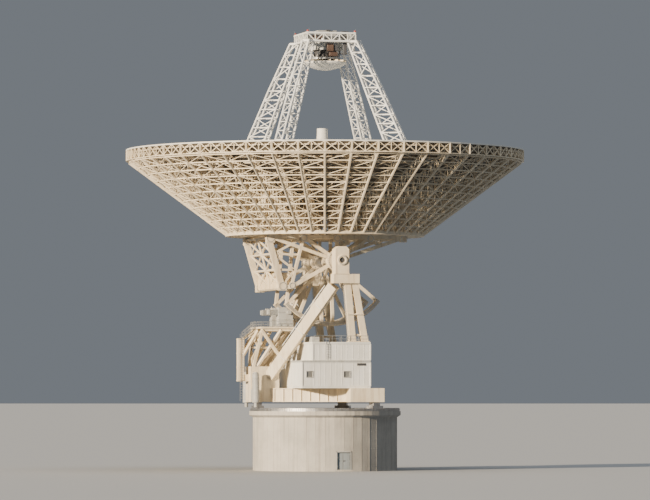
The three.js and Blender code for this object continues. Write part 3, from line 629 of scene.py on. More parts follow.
def back_quarter(quarter, index):
    """One quarter of the back structure, as one joined piece."""
    ribs = range(index * RIBS // 4, (index + 1) * RIBS // 4)
    first = index * 90

    def every(bars_of, *node):
        """One kind of bar on all the ribs of the quarter."""
        return [bar for rib in ribs for bar in bars_of(rib, *node)]

    girder = ring_bars(RING_RADIUS, RING_PLANE + 0.3, first)
    hub_ring = ring_bars(LATTICE_INNER, RING_PLANE + 0.25, first)
    assemble("back_lattice_" + quarter, "dish", [
        bar_set("rib_rays", every(rib_chord, low_node), LOW_CHORD, frame_paint, sides=6),
        bar_set("rib_tops", every(rib_chord, top_node), TOP_CHORD, frame_paint),
        bar_set("rib_web", every(rib_web), WEB, frame_paint, tone=0.5),
        bar_set("rib_hoops", every(hoops), HOOP, frame_paint, tone=0.5),
        bar_set("face_braces", every(face_braces), FACE_BRACE, frame_paint, tone=0.5),
        bar_set("bearing_ring", girder, RING_GIRDER, frame_paint, tone=0.1),
        bar_set("hub_ring", hub_ring, RING_GIRDER, frame_paint, tone=0.1),
    ], ["back_structure_" + quarter])


for index, quarter in enumerate(QUARTERS):
    back_quarter(quarter, index)

# %% [markdown]
# The reflecting surface is more than a thousand panels, each one a little slab of the
# paraboloid with a narrow groove round it. One panel of each ring is meshed from the formula,
# and the copying tree turns it round the axis. Its foot is a little wider than its top, so
# that the grooves are closed at the bottom and no light from behind shines through them. The
# random tone sets each panel slightly apart from its neighbours, as paint batches do.

# %% Reflector panels
PANEL_GAP = 0.05
PANEL_THICKNESS = 0.12
PANEL_EDGE = 34.85
PANEL_RINGS = steps(HUB_RADIUS, PANEL_EDGE, 16)
PANEL_CELLS = 2
PANEL_COUNTS = ((8, 24), (16, 48), (RIM_RADIUS, 96))


def panels_round(radius):
    """How many panels a full ring has: more as the ring grows."""
    for limit, count in PANEL_COUNTS:
        if radius < limit:
            return count


def panel_slab(point_at):
    """One panel as a closed slab. point_at gives its points for u and v from 0 to 1."""
    marks = steps(0, 1, PANEL_CELLS)
    across, last = PANEL_CELLS + 1, PANEL_CELLS
    under = across * across
    sheets = ((PANEL_GAP, 0), (0, PANEL_THICKNESS))
    points = [point_at(u, v, gap, drop) for gap, drop in sheets for u in marks for v in marks]
    faces = []
    for i in range(PANEL_CELLS):
        for j in range(PANEL_CELLS):
            a = i * across + j
            quad = (a, a + across, a + across + 1, a + 1)
            faces += [quad, tuple(under + k for k in reversed(quad))]
    edge = [(0, j) for j in range(last)] + [(i, last) for i in range(last)]
    edge += [(last, last - j) for j in range(last)] + [(last - i, 0) for i in range(last)]
    border = [i * across + j for i, j in edge]
    faces += [(a, b, under + b, under + a) for a, b in zip(border, border[1:] + border[:1])]
    return mesh_piece("panel", points, faces, panel_paint_and_painted_shade)


def panel_ring(inner, outer, first):
    """A quarter of one ring of panels, starting at an azimuth."""
    count = panels_round(inner)
    half = 180 / count

    def panel_point(u, v, gap, drop):
        """A point of the panel, pulled in by half a gap and lowered by a drop."""
        radius = inner + gap / 2 + u * (outer - inner - gap)
        inset = 1 - gap / (2 * radius * radians(half))
        return polar(radius, (2 * v - 1) * half * inset, dish_height(radius) - drop)

    panel = panel_slab(panel_point)
    return turned_copies("panels", panel, count // 4, 2 * half, first + half, panel_paint_and_painted_shade, tone=0.45)


# %% [markdown]
# Round the edge runs a rim truss that stiffens the last ring of panels. In the photograph it
# closes the dish at the top with a thin pale line, and the lattice shows right up to it. So
# it is an open truss: a flat bar round the top and another round the foot, uprights at the
# ribs and half-way between them, and crossed diagonals.

# %% Rim truss
RIM_TOP = dish_height(RIM_RADIUS)
RIM_BAR = 0.14


def rim_ring(name, low, high, first, material):
    """A flat bar round a quarter of the rim, closed on all sides."""
    inner, outer = RIM_RADIUS - 2.4 * RIM_BAR, RIM_RADIUS
    section = [(inner, low), (outer, low), (outer, high), (inner, high)]
    turns = steps(first, first + 90, RING_PARTS)
    points = [polar(radius, turn, height) for turn in turns for radius, height in section]
    faces = []
    for a in range(0, 4 * RING_PARTS, 4):
        faces += [(a + k, a + (k + 1) % 4, a + 4 + (k + 1) % 4, a + 4 + k) for k in range(4)]
    faces += [(0, 1, 2, 3), tuple(len(points) - 1 - k for k in range(4))]
    return mesh_piece(name, points, faces, material)


def rim_quarter(first):
    """The rim truss of one quarter."""
    low, high = RIM_BOTTOM + RIM_BAR, RIM_TOP - RIM_BAR
    turns = steps(first, first + 90, RING_PARTS)
    feet = [polar(RIM_RADIUS - RIM_BAR, turn, low) for turn in turns]
    tops = [polar(RIM_RADIUS - RIM_BAR, turn, high) for turn in turns]
    uprights = list(zip(feet, tops))[:-1]
    crossed = []
    for i in range(RING_PARTS):
        crossed += [(feet[i], tops[i + 1]), (tops[i], feet[i + 1])]
    return [
        rim_ring("rim_top", RIM_TOP - 1.6 * RIM_BAR, RIM_TOP, first, dish_paint),
        rim_ring("rim_foot", RIM_BOTTOM, RIM_BOTTOM + RIM_BAR, first, frame_paint),
        bar_set("rim_posts", uprights[::2], 1.4 * RIM_BAR, frame_paint),
        bar_set("rim_half_posts", uprights[1::2], 0.7 * RIM_BAR, frame_paint),
        bar_set("rim_crosses", crossed, 0.6 * RIM_BAR, frame_paint, tone=0.4),
    ]


for index, quarter in enumerate(QUARTERS):
    rings = [panel_ring(a, b, index * 90) for a, b in zip(PANEL_RINGS, PANEL_RINGS[1:])]
    assemble("panel_surface_" + quarter, "dish", rings + rim_quarter(index * 90),
             ["reflector_" + quarter])

# %% [markdown]
# Four lattice legs carry the subreflector high over the dish. Each leg has four tubular
# chords, closed by zigzag bracing on every side, and it narrows and leans in at a knee near
# its top. Only the chord lines are given; the bays are found by walking along them, so the
# bracing stays regular however the leg bends.

# %% Quadripod legs
OUTER_LINE = [(20.1, 11.7), (17.6, 17.6), (14.4, 24.0), (11.2, 30.4), (6.7, 38.7)]
INNER_LINE = [(16.7, 10.5), (13.7, 17.6), (11.0, 24.0), (8.3, 30.4), (4.9, 38.7)]
LEG_CORNERS = [(OUTER_LINE, 1), (OUTER_LINE, -1), (INNER_LINE, -1), (INNER_LINE, 1)]
LEG_HALF_WIDTH = 0.66
BAYS_A_LENGTH = 4
LEG_BAYS = BAYS_A_LENGTH * (len(OUTER_LINE) - 1)
FOOT_HALF_WIDTH = 0.85
FOOT_LOW = 8.6
FOOT_TOPS = [(16.4, 10.4), (20.6, 11.4)]


def leg_square(bay, turn):
    """The four chord points of a leg at the start of a bay, turned to their place."""
    part = min(bay // BAYS_A_LENGTH, len(OUTER_LINE) - 2)
    share = bay / BAYS_A_LENGTH - part
    spots = [(Vector(line[part]).lerp(Vector(line[part + 1]), share), side) for line, side in LEG_CORNERS]
    return [spin(turn) @ tip(spot.x, side * LEG_HALF_WIDTH, spot.y) for spot, side in spots]


def leg_bars(turn):
    """Chords and bracing of one leg."""
    squares = [leg_square(bay, turn) for bay in range(LEG_BAYS + 1)]
    chords, braces = [], []
    for i, here in enumerate(squares):
        braces += [(here[k], here[(k + 1) % 4]) for k in range(4)]
        if i < LEG_BAYS:
            there = squares[i + 1]
            flip = i % 2
            chords += list(zip(here, there))
            braces += [(here[(k + flip) % 4], there[(k + 1 - flip) % 4]) for k in range(4)]
    return chords, braces


def leg_foot(turn):
    """The stiff foot plates of a leg where it passes through the panels into the ribs."""
    points = [spin(turn) @ tip(radius, side * FOOT_HALF_WIDTH, level)
              for radius, height in FOOT_TOPS for side in (-1, 1) for level in (FOOT_LOW, height)]
    faces = [(0, 1, 3, 2), (4, 6, 7, 5), (0, 4, 5, 1), (2, 3, 7, 6), (0, 2, 6, 4), (1, 5, 7, 3)]
    return mesh_piece("leg_foot", points, faces, frame_paint)


for index, quarter in enumerate(QUARTERS):
    turn = 45 + 90 * index
    chords, braces = leg_bars(turn)
    assemble("lattice_leg_" + quarter, "dish", [
        bar_set("leg_chords", chords, 0.17, leg_paint, sides=8, tone=0.1),
        bar_set("leg_braces", braces, 0.09, leg_paint, tone=0.15),
        leg_foot(turn),
    ], ["quadripod_leg_" + quarter])

# %% [markdown]
# At the top of the legs a square truss ties them together and carries the subreflector. In
# the photograph it is a short bright bar with dark equipment above and below it. The ring
# is a lattice of two chords with bracing on its four sides; box arms run from it to the
# drum, with a grating between them to walk on.

# %% Apex truss
APEX_HALF = 4.38
APEX_LOW, APEX_HIGH = 38.6, 40.0
APEX_BAYS = 6
ARM_Y = 1.6
DECK_HALF = 4.2
DECK_LEVEL = 39.16
DRUM_CLEAR = 3.1


def apex_side(turn):
    """One side of the square ring: its two chords, and its posts and crossed bars."""
    spots = steps(-APEX_HALF, APEX_HALF, APEX_BAYS)
    low, high = [[spin(turn) @ tip(APEX_HALF, y, z) for y in spots] for z in (APEX_LOW, APEX_HIGH)]
    chords = list(zip(low, low[1:])) + list(zip(high, high[1:]))
    web = list(zip(low, high))[:-1]
    web += [(low[i], high[i + 1]) if i % 2 else (high[i], low[i + 1]) for i in range(APEX_BAYS)]
    return chords, web


def apex_arms(turn):
    """A pair of box arms from one side of the ring to the drum, and a plate on a leg's head."""
    arms = [(tip(2.6, y - 0.15, 38.5), tip(APEX_HALF, y + 0.15, 39.1), spin(turn)) for y in (-ARM_Y, ARM_Y)]
    return arms + [(tip(4.9, -0.8, 38.4), tip(6.75, 0.8, 38.75), spin(turn + 45))]


def grating_bars():
    """Thin bars of the walkway grating, from the drum to the ring."""
    bars = []
    for x in steps(-DECK_HALF, DECK_HALF, 28):
        inside = max(0, DRUM_CLEAR ** 2 - x * x) ** 0.5
        bars += [(tip(x, side * inside, DECK_LEVEL), tip(x, side * 4.25, DECK_LEVEL)) for side in (-1, 1)]
    return bars


deck_corners = ((1, -1), (1, 1), (-1, 1), (-1, -1), (1, -1))
deck_edge = [tip(x * DECK_HALF, y * DECK_HALF, DECK_LEVEL + 0.04) for x, y in deck_corners]
ring_chords, ring_web, arms = [], [], []
for turn in SQUARE:
    chords, web = apex_side(turn)
    ring_chords += chords
    ring_web += web
    arms += apex_arms(turn)
assemble("apex_truss", "dish", [
    bar_set("apex_chords", ring_chords, 0.19, leg_paint, sides=8, tone=0.1),
    bar_set("apex_web", ring_web, 0.1, leg_paint, tone=0.2),
    slabs("apex_arms", arms, leg_paint, bevel=0.04),
    bar_set("apex_grating", grating_bars(), 0.035, galvanized, tone=0.2),
    bar_set("apex_rail", railing_bars(deck_edge, height=0.85), 0.045, galvanized),
], ["apex_frame"])

# %% [markdown]
# The subreflector hangs under the ring on a positioner that can shift and tilt it. From
# below one sees a drum, a dark slot with slanting struts in it, and the shallow bowl of the
# subreflector. The slot is real depth here: a narrow core with six struts round it, and the
# core is painted near black, as painted shade in the slot.
# The dark and rust-red specks round the ring are the boxes of its drives.

# %% Positioner and subreflector
AT_AXIS = (0, 0, AXIS)
SUBREFLECTOR_RADIUS = 3.85
BOWL_FOOT, BOWL_DEPTH = 33.7, 1.2


def hung(*boxes):
    """Boxes of the tipping part, given as pairs of corners with heights from the axis."""
    return [(tip(*low), tip(*high)) for low, high in boxes]


struts = [(polar(2.7, 60 * i, AXIS + 37.3), polar(2.45, 60 * i + (24 if i % 2 else -24), AXIS + 35.95))
          for i in range(6)]
drum_ribs = [(polar(2.9, 15 * i, AXIS + 37.4), polar(2.9, 15 * i, AXIS + 39.3)) for i in range(24)]
cabinet = hung(((-1.65, -1.45, 39.5), (1.65, 1.45, 40.55)), ((-1.75, -1.55, 40.5), (1.75, 1.55, 40.66)))
drive_boxes = hung(
    ((2.0, -4.0, 39.2), (3.2, -3.2, 40.4)), ((2.4, -3.6, 36.3), (3.0, -3.2, 39.2)),
    ((2.1, -3.5, 36.4), (3.1, -2.4, 36.6)), ((2.1, -3.5, 38.5), (3.1, -2.2, 38.7)),
    ((-0.3, -1.9, 40.6), (0.5, -1.1, 40.78)), ((-3.9, -1.2, 39.2), (-3.1, 0.6, 40.5)),
    ((3.2, 0.6, 39.2), (3.9, 2.4, 40.4)), ((0.8, -3.2, 37.0), (1.5, -2.5, 37.9)),
)
oxide_boxes = hung(
    ((-3.4, -4.0, 38.75), (-1.4, -3.3, 39.75)), ((-0.5, -3.4, 36.9), (0.7, -2.6, 38.3)),
    ((-0.1, -3.5, 36.05), (1.4, -2.5, 36.75)), ((-1.2, 3.2, 39.2), (1.4, 3.9, 40.3)),
    ((-0.7, 2.6, 36.0), (1.0, 3.4, 38.2)),
)
assemble("positioner_housing", "dish", [
    lathe("positioner_shell", [
        (0, 39.6), (2.85, 39.6), (3.0, 39.5), (3.0, 39.3), (2.88, 39.25), (2.88, 37.5), (3.0, 37.45),
        (3.0, 37.2), (0, 37.2),
    ], grey_paint, centre=AT_AXIS),
    # The core is painted near black: painted shade inside the slot.
    lathe("positioner_core", [(0, 37.25), (2.0, 37.25), (2.0, 35.9), (0, 35.9)], painted_shade_black, centre=AT_AXIS),
    lathe("positioner_foot", [
        (0, 36.05), (2.5, 36.05), (2.7, 35.9), (2.7, 35.62), (0, 35.52),
    ], galvanized, centre=AT_AXIS),
    slabs("apex_cabinet", cabinet, grey_paint, bevel=0.04),
    slabs("drive_boxes", drive_boxes, slate_paint, bevel=0.04),
    slabs("oxide_boxes", oxide_boxes, oxide_red, bevel=0.06),
    bar_set("positioner_struts", struts, 0.16, machined_steel, sides=8),
    bar_set("drum_ribs", drum_ribs, 0.09, grey_paint),
], ["subreflector_positioner"])

bowl = [(SUBREFLECTOR_RADIUS * share, BOWL_FOOT + BOWL_DEPTH * share * share) for share in steps(0, 1, 12)]
bowl += [(SUBREFLECTOR_RADIUS, 35.1), (3.7, 35.16), (2.6, 35.4), (0, 35.45)]
back_ribs = [(tip(1.0, -0.05, 35.2), tip(3.75, 0.05, 35.48), spin(22.5 * i)) for i in range(16)]
assemble("subreflector_bowl", "dish", [
    lathe("subreflector_shell", bowl, dish_paint, sides=96, centre=AT_AXIS),
    slabs("subreflector_ribs", back_ribs, frame_paint),
], ["subreflector"])

# %% [markdown]
# Small things stand out at the very top: red obstruction lamps at the corners of the ring,
# and short lightning rods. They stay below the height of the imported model, because the looks
# may not make the part taller.

# %% Lamps on the apex
LAMP_RADIUS, LAMP_LEVEL = 6.05, AXIS + 40.12
lamp_places = [(polar(LAMP_RADIUS, turn + 45, LAMP_LEVEL), UP) for turn in SQUARE]
glass_places = [(spot + Vector((0, 0, 0.22)), UP) for spot, _ in lamp_places]
rods = [[polar(LAMP_RADIUS, turn + 47.5, AXIS + z) for z in (40.0, 40.78)] for turn in SQUARE]
assemble("apex_lamps", "dish", [
    heads("lamp_bases", lamp_places, 0.22, 0.28, grey_paint, sides=12),
    heads("lamp_glasses", glass_places, 0.18, 0.32, beacon_red, sides=12),
    bar_set("lightning_rods", rods, 0.03, galvanized),
])

# %% [markdown]
# On the middle of the dish stands the feed tower: a round housing that tapers upward, with
# three receiver cones on it that reach towards the subreflector. Only their tips show over
# the rim from the photograph's side, but from above they are the centre of the dish. Lathe
# profiles give the shells, with flanges where the sections are bolted together.

# %% Feed tower
FEED_BASE, FEED_TOP = 8.25, 15.35
FEED_RADIUS, FEED_TAPER = 4.28, 0.78
FEED_FLANGES = (9.6, 11.5, 13.4, 15.2)
HATCHES = ((200, 9.8, 11.3), (20, 9.8, 11.3), (110, 13.7, 14.9))
LADDER_TURN = 200
COLLAR_TOP = dish_height(HUB_RADIUS) - AXIS + 0.06


def feed_radius(z):
    """Radius of the housing at a height above the axis: upright at first, then tapering."""
    return FEED_RADIUS - max(0, z - 9.6) * FEED_TAPER / (15.4 - 9.6)


profile = [
    (0, FEED_BASE), (FEED_RADIUS, FEED_BASE), (FEED_RADIUS, COLLAR_TOP), (4.95, COLLAR_TOP),
    (4.95, COLLAR_TOP + 0.08), (4.3, COLLAR_TOP + 0.22),
]
flange_bolts = []
for z in FEED_FLANGES:
    radius = feed_radius(z)
    profile += [(radius, z - 0.12), (radius + 0.09, z - 0.1), (radius + 0.09, z + 0.02), (radius, z + 0.04)]
    flange_bolts += level_circle(48, radius + 0.05, AXIS + z + 0.02)
profile += [(feed_radius(FEED_TOP), FEED_TOP), (0, FEED_TOP)]
hatches = [(tip(feed_radius(low) - 0.25, -0.5, low), tip(feed_radius(low) + 0.06, 0.5, high), spin(angle))
           for angle, low, high in HATCHES]
tower_ladder = ladder_bars(tip(4.45, 1.2, 8.6), tip(3.75, 1.2, 16.3), (0, 1, 0), width=0.6)
tower_ladder = [(spin(LADDER_TURN) @ a, spin(LADDER_TURN) @ b) for a, b in tower_ladder]
tower_rail = railing_bars([polar(3.3, 15 * i, AXIS + FEED_TOP) for i in range(25)], pitch=0.9)
assemble("feed_tower", "dish", [
    lathe("feed_shell", profile, dish_paint, sides=96, centre=AT_AXIS),
    slabs("feed_hatches", hatches, grey_paint, bevel=0.03),
    heads("feed_bolts", flange_bolts, 0.07, 0.06, galvanized),
    bar_set("feed_ladder", tower_ladder, 0.04, galvanized),
    bar_set("feed_rail", tower_rail, 0.045, galvanized),
], ["feed_base"])

# %% Feed cones
CONE_TOPS = [21.2, 21.2, 23.4]
CONE_FOOT, CONE_FOOT_RADIUS, CONE_TAPER = 15.4, 1.48, 0.55
CONE_CIRCLE = 1.8


def feed_cone(index, top):
    """A receiver cone: tapering sections with flanges and an open horn with a window."""
    centre = polar(CONE_CIRCLE, 120 * index, AXIS)
    slope = CONE_TAPER / (top - 0.5 - CONE_FOOT)
    outline = [(0, CONE_FOOT + 0.02), (CONE_FOOT_RADIUS, CONE_FOOT + 0.02)]
    clips = []
    for z in steps(15.7, top - 2.0, 2):
        radius = CONE_FOOT_RADIUS - (z - CONE_FOOT) * slope
        outline += [(radius - 0.02, z), (radius + 0.03, z + 0.02), (radius + 0.03, z + 0.14)]
        outline.append((radius - 0.04, z + 0.16))
        clips += [(centre + spot, UP) for spot, _ in level_circle(20, radius, z + 0.16)]
    outline += [(0.93, top - 0.5), (0.95, top - 0.05), (0.9, top - 0.02), (0.8, top - 0.04)]
    outline += [(0.62, top - 0.7), (0, top - 0.7)]
    window = [(0, top - 0.68), (0.6, top - 0.68), (0.6, top - 0.6), (0, top - 0.54)]
    number = str(index + 1)
    assemble("receiver_cone_" + number, "dish", [
        lathe("cone_shell", outline, dish_paint, sides=48, centre=centre),
        lathe("cone_window", window, grey_paint, sides=32, centre=centre),
        heads("cone_bolts", clips, 0.05, 0.05, galvanized),
    ], ["feed_cone_" + number])


for index, top in enumerate(CONE_TOPS):
    feed_cone(index, top)

# %% [markdown]
# Under the dish hang the side frames, the gear wheels that tip it, and the counterweight.
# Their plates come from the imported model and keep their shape. What makes them read as
# steelwork is laid on them: gusset plates and bolts where bars meet, the teeth of the gear,
# and the light bracing between the two side frames.

# %% Gear teeth and bolts on the elevation wheels
WHEEL_Y, WHEEL_HALF, WHEEL_RADIUS = 3.7, 0.4, 11.3
WHEEL_START, WHEEL_END = 222, 322
RIM_BOLT_RADII, HUB_BOLT_RADIUS, FLANGE_RADIUS = (10.75, 11.1), 1.25, 10.92
TOOTH_PITCH = 1.0
TOOTH_ROOT, TOOTH_HEIGHT, TOOTH_HALF_WIDTH, TOOTH_HALF_THICK = 0.1, 0.035, 0.33, 0.045


def wheel_point(radius, degrees, y):
    """A point on an elevation wheel, by its radius and its angle round the axle."""
    return tip(radius * cos(radians(degrees)), y, radius * sin(radians(degrees)))


def wheel_details(name, side):
    """Teeth along the rim, side flanges and their bolts."""
    y = side * WHEEL_Y
    foot = tip(WHEEL_RADIUS - TOOTH_ROOT, y - TOOTH_HALF_WIDTH, -TOOTH_HALF_THICK)
    head = tip(WHEEL_RADIUS + TOOTH_HEIGHT, y + TOOTH_HALF_WIDTH, TOOTH_HALF_THICK)
    tooth = slabs("tooth", [(foot, head)], machined_steel)
    count = round((WHEEL_END - WHEEL_START - 1) / TOOTH_PITCH)
    teeth = turned_copies("teeth", tooth, count, TOOTH_PITCH, WHEEL_START + 1, machined_steel, tone=0.2,
                          axis=(0, -1, 0), pivot=AT_AXIS)
    bolts, flange = [], []
    for face in (-1, 1):
        surface = y + face * WHEEL_HALF
        for angle in steps(WHEEL_START + 1, WHEEL_END - 1, 70):
            bolts += [(wheel_point(radius, angle, surface), (0, face, 0)) for radius in RIM_BOLT_RADII]
        turns = steps(WHEEL_START + 0.3, WHEEL_END - 0.3, 40)
        line = [wheel_point(FLANGE_RADIUS, angle, surface) for angle in turns]
        flange += list(zip(line, line[1:]))
        bolts += upright_circle(16, tip(0, surface, 0), HUB_BOLT_RADIUS, face)
    assemble("wheel_gear_" + name, "dish", [
        teeth,
        bar_set("wheel_flange", flange, 0.05, machined_steel),
        heads("wheel_bolts", bolts, 0.1, 0.1, galvanized),
    ])


for name, side in SIDES:
    wheel_details(name, side)

# %% Bracing between the side frames
FRAME_Y, BRACE_Y = 8.0, 7.6
REAR_TOP, REAR_HEEL = Vector((-12.2, 3.9)), Vector((-9.9, -4.4))
REAR_BAYS = 3
REAR_EDGE = [(-12.2, 3.9), (-11.43, 1.13), (-10.67, -1.63), (-9.9, -4.4)]
INNER_EDGE = [(-6.3, 3.8), (-7.0, 1.0), (-7.6, -1.7), (-8.2, -4.4)]
TOP_CROSSINGS = (-12.2, -6.0, 0.0, 6.0, 12.2)


def rear_point(share, side):
    """A point on the raking rear side, at a side frame or, for side 0, half-way between them."""
    spot = REAR_TOP.lerp(REAR_HEEL, share)
    return tip(spot.x, side * BRACE_Y, spot.y)


def rear_bars():
    """Crossed bars from each side frame to a middle post, and level bars."""
    bars = []
    marks = steps(0, 1, REAR_BAYS)
    for a, b in zip(marks, marks[1:]):
        for side in (-1, 1):
            bars += [(rear_point(a, side), rear_point(b, 0)), (rear_point(b, side), rear_point(a, 0))]
        bars.append((rear_point(b, -1), rear_point(b, 1)))
    return bars + [(rear_point(0, -1), rear_point(0, 1)), (rear_point(0, 0), rear_point(1, 0))]


def top_bars():
    """Crossed and straight bars between the top chords of the side frames."""
    near, far = [[tip(x, side * BRACE_Y, 4.0) for x in TOP_CROSSINGS] for side in (-1, 1)]
    bars = []
    for i in range(len(near) - 1):
        bars += [(near[i], far[i + 1]), (far[i], near[i + 1])]
    return bars + list(zip(near, far))


def fine_bars(side):
    """The light bars that fill the rear panel of one side frame."""
    rear, inner = [[tip(x, side * FRAME_Y, z) for x, z in edge] for edge in (REAR_EDGE, INNER_EDGE)]
    return list(zip(rear, inner)) + [(inner[0], rear[1]), (rear[1], inner[2]), (inner[2], rear[3])]


assemble("frame_bracing", "dish", [
    bar_set("rear_bars", rear_bars(), 0.2, frame_paint, sides=8, tone=0.2),
    bar_set("top_bars", top_bars(), 0.2, frame_paint, sides=8, tone=0.2),
    bar_set("fine_bars", fine_bars(-1) + fine_bars(1), 0.24, frame_paint, tone=0.2),
])

# %% Gussets on the side frames
GUSSETS = [
    (-12.0, 3.8, 1.5), (-6.0, 3.9, 1.2), (0.0, 3.9, 1.2), (6.0, 3.9, 1.2), (12.0, 3.9, 1.2),
    (-9.8, -4.5, 1.5), (-8.1, -4.4, 1.1),
]
PLATE_FACE, PLATE_HALF = 0.38, 0.035


def gusset_plates(name, side):
    """Plates with their bolts on both faces of one side frame, and bolts round the axle."""
    plates, bolts = [], []
    for x, z, size in GUSSETS:
        for face in (-1, 1):
            middle = tip(x, side * FRAME_Y + face * PLATE_FACE, z)
            plates.append(block(middle, (size / 2, PLATE_HALF, size / 2)))
            bolts += upright_circle(16, middle + Vector((0, face * 0.03, 0)), 0.42 * size, face)
    for face in (-1, 1):
        bolts += upright_circle(32, tip(0, side * FRAME_Y + face * (PLATE_FACE + 0.03), 0), 1.6, face)
    assemble("frame_gussets_" + name, "dish", [
        slabs("gussets", plates, frame_paint, bevel=0.02),
        heads("gusset_bolts", bolts, 0.09, 0.1, galvanized),
    ])


for name, side in SIDES:
    gusset_plates(name, side)

# %% [markdown]
# The counterweight is a long steel box filled with ballast. Its plates are stiffened by ribs
# welded on at even spacing, which is what one sees of it. The box is read from the packed
# model, so the ribs follow it if it changes.

# %% Counterweight ribs
RIB_DEPTH, RIB_WIDTH, RIB_INSET = 0.18, 0.16, 0.06
weight_low, weight_high = [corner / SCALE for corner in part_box("counterweight")]
weight_ribs = []
for y in steps(weight_low.y + 0.2, weight_high.y - 0.2 - RIB_WIDTH, 15):
    for dx, dz in ((RIB_DEPTH, -RIB_INSET), (-RIB_INSET, RIB_DEPTH)):
        weight_ribs.append(((weight_low.x - dx, y, weight_low.z - dz),
                            (weight_high.x + dx, y + RIB_WIDTH, weight_high.z + dz)))
assemble("ballast_ribs", "dish", [
    slabs("ballast_ribs", weight_ribs, frame_paint, bevel=0.016),
])

# %% [markdown]
# The alidade is heavy welded steelwork with few details at this distance, but each has a
# use: bearing caps bolted over the elevation axle, flange plates where leg sections meet,
# ladders up the front legs, handrails round the drive platform and up the rear legs.

# %% Elevation bearings
BEARING_Y, BEARING_HALF = 10.5, 1.2
BORE = 0.44


def bearing_details(name, side):
    """A flanged cap round the open bore, whose black disc is painted shade, bolt circles on both faces and
    ribs down the sides.
    """
    outer, inner = side * (BEARING_Y + BEARING_HALF), side * (BEARING_Y - BEARING_HALF)
    rim = [(0, -0.08), (0.92, -0.08), (0.92, 0.12), (0.84, 0.18), (0.55, 0.18), (0.45, -0.04), (0, -0.04)]
    # The bore is a thin disc set into the cap and painted black: painted shade in the hole.
    bore = [(0, -0.05), (BORE, -0.05), (BORE, -0.024), (0, -0.024)]
    rim, bore = [[(radius, side * height) for radius, height in profile] for profile in (rim, bore)]
    place = tip(0, outer + side * 0.04, 0)
    ribs = [block(tip(x, side * BEARING_Y, z), (0.04, BEARING_HALF - 0.2, 0.04))
            for x in (-1.18, 1.18) for z in (-1.9, -1.1, 1.1, 1.9)]
    ribs.append(block(tip(0, side * BEARING_Y, -2.34), (1.3, BEARING_HALF + 0.06, 0.06)))
    bolts = upright_circle(18, tip(0, outer + side * 0.24, 0), 0.72, side)
    bolts += upright_circle(20, tip(0, inner - side * 0.01, 0), 1.1, side)
    assemble("bearing_details_" + name, "alidade", [
        lathe("bearing_cap", rim, frame_paint, sides=48, centre=place, axis="Y"),
        lathe("bearing_bore", bore, painted_shade_black, sides=48, centre=place, axis="Y"),
        slabs("bearing_ribs", ribs, frame_paint),
        heads("bearing_bolts", bolts, 0.07, 0.1, galvanized),
    ])


for name, side in SIDES:
    bearing_details(name, side)

# %% Leg flanges and ladders
FLANGES = [(3.15, 22.5, 1.9), (2.5, 27.2, 1.5), (1.8, 32.48, 1.5)]
REAR_LEG_HEAD, REAR_LEG_FOOT = (-1.2, 10.4, -4.4), (-10.4, 1.3, -20.2)
PLATE_HALF_DEPTH, PLATE_HALF_THICK, BOLT_ROW = 0.8, 0.07, 0.72
WALK_START, WALK_END = 0.14, 0.8
RAIL_LIFT, TREAD_LIFT = 1.2, 1.16


def front_leg_details(name, side):
    """Flange plates round both columns, bolts on them, and a ladder up the rear column."""
    plates, bolts = [], []
    for x, z, reach in FLANGES:
        middle = Vector((x, side * BEARING_Y, z))
        plates.append(block(middle, (reach, PLATE_HALF_DEPTH, PLATE_HALF_THICK)))
        bolts += [(middle + Vector((reach * (i - 4) / 4.4, edge * BOLT_ROW, PLATE_HALF_THICK)), UP)
                  for i in range(9) for edge in (-1, 1)]
    rungs = ladder_bars((1.35, side * BEARING_Y, 22.9), (0.45, side * BEARING_Y, 32.3), (0, 1, 0))
    assemble("front_leg_details_" + name, "alidade", [
        slabs("leg_plates", plates, frame_paint, bevel=0.02),
        heads("leg_bolts", bolts, 0.08, 0.1, galvanized),
        bar_set("leg_ladder", rungs, 0.04, galvanized),
    ])


def rear_leg_details(name, side):
    """Handrail and treads up the leg, and joint bands round it."""
    head, foot = [tip(x, side * y, z) for x, y, z in (REAR_LEG_HEAD, REAR_LEG_FOOT)]

    def above(share, lift):
        """A point over the top face of the leg, at a share of its length."""
        return head.lerp(foot, share) + Vector((0, 0, lift))

    half = Vector((0, 0.4, 0))
    spots = [above(share, TREAD_LIFT) for share in steps(WALK_START, WALK_END, 44)]
    lean = (foot - head).to_track_quat("Z", "X").to_matrix().to_4x4()
    bands = [block((0, 0, 0), (0.92, 0.92, 0.06), Matrix.Translation(above(share, 0)) @ lean)
             for share in (0.22, 0.5, 0.78)]
    rail = railing_bars([above(share, RAIL_LIFT) for share in (WALK_START, WALK_END)])
    assemble("rear_leg_details_" + name, "alidade", [
        slabs("leg_bands", bands, leg_paint, bevel=0.02),
        bar_set("leg_rail", rail, 0.045, galvanized),
        bar_set("leg_treads", [(spot - half, spot + half) for spot in spots], 0.05, galvanized),
    ])


for details in (front_leg_details, rear_leg_details):
    for name, side in SIDES:
        details(name, side)

# %% Drive platform, its railing and the bracing under it
DECK_REAR, DECK_FRONT, DECK_SIDE, DECK_TOP = -12.6, -6.7, 4.1, 25.1
EDGE_INSET = 0.12
PLATFORM_BRACES = [
    ((-12.4, 3.7, -12.0), (-8.7, 3.0, -17.0)), ((-8.9, 3.7, -12.0), (-12.6, 1.6, -18.3)),
    ((-12.5, 1.4, -12.1), (-14.9, 0.45, -16.4)),
]
grating = [[(x, side * (DECK_SIDE - 0.1), DECK_TOP) for side in (-1, 1)]
           for x in steps(DECK_REAR + 0.1, DECK_FRONT - 0.1, 46)]
rear_edge, front_edge, side_edge = DECK_REAR + EDGE_INSET, DECK_FRONT - EDGE_INSET, DECK_SIDE - EDGE_INSET
rail_paths = [
    [(front_edge, -side_edge), (rear_edge, -side_edge), (rear_edge, -0.5)],
    [(rear_edge, 0.5), (rear_edge, side_edge), (front_edge, side_edge)],
]
rails = []
for path in rail_paths:
    rails += railing_bars([(x, y, DECK_TOP) for x, y in path], height=0.9, pitch=1.2)
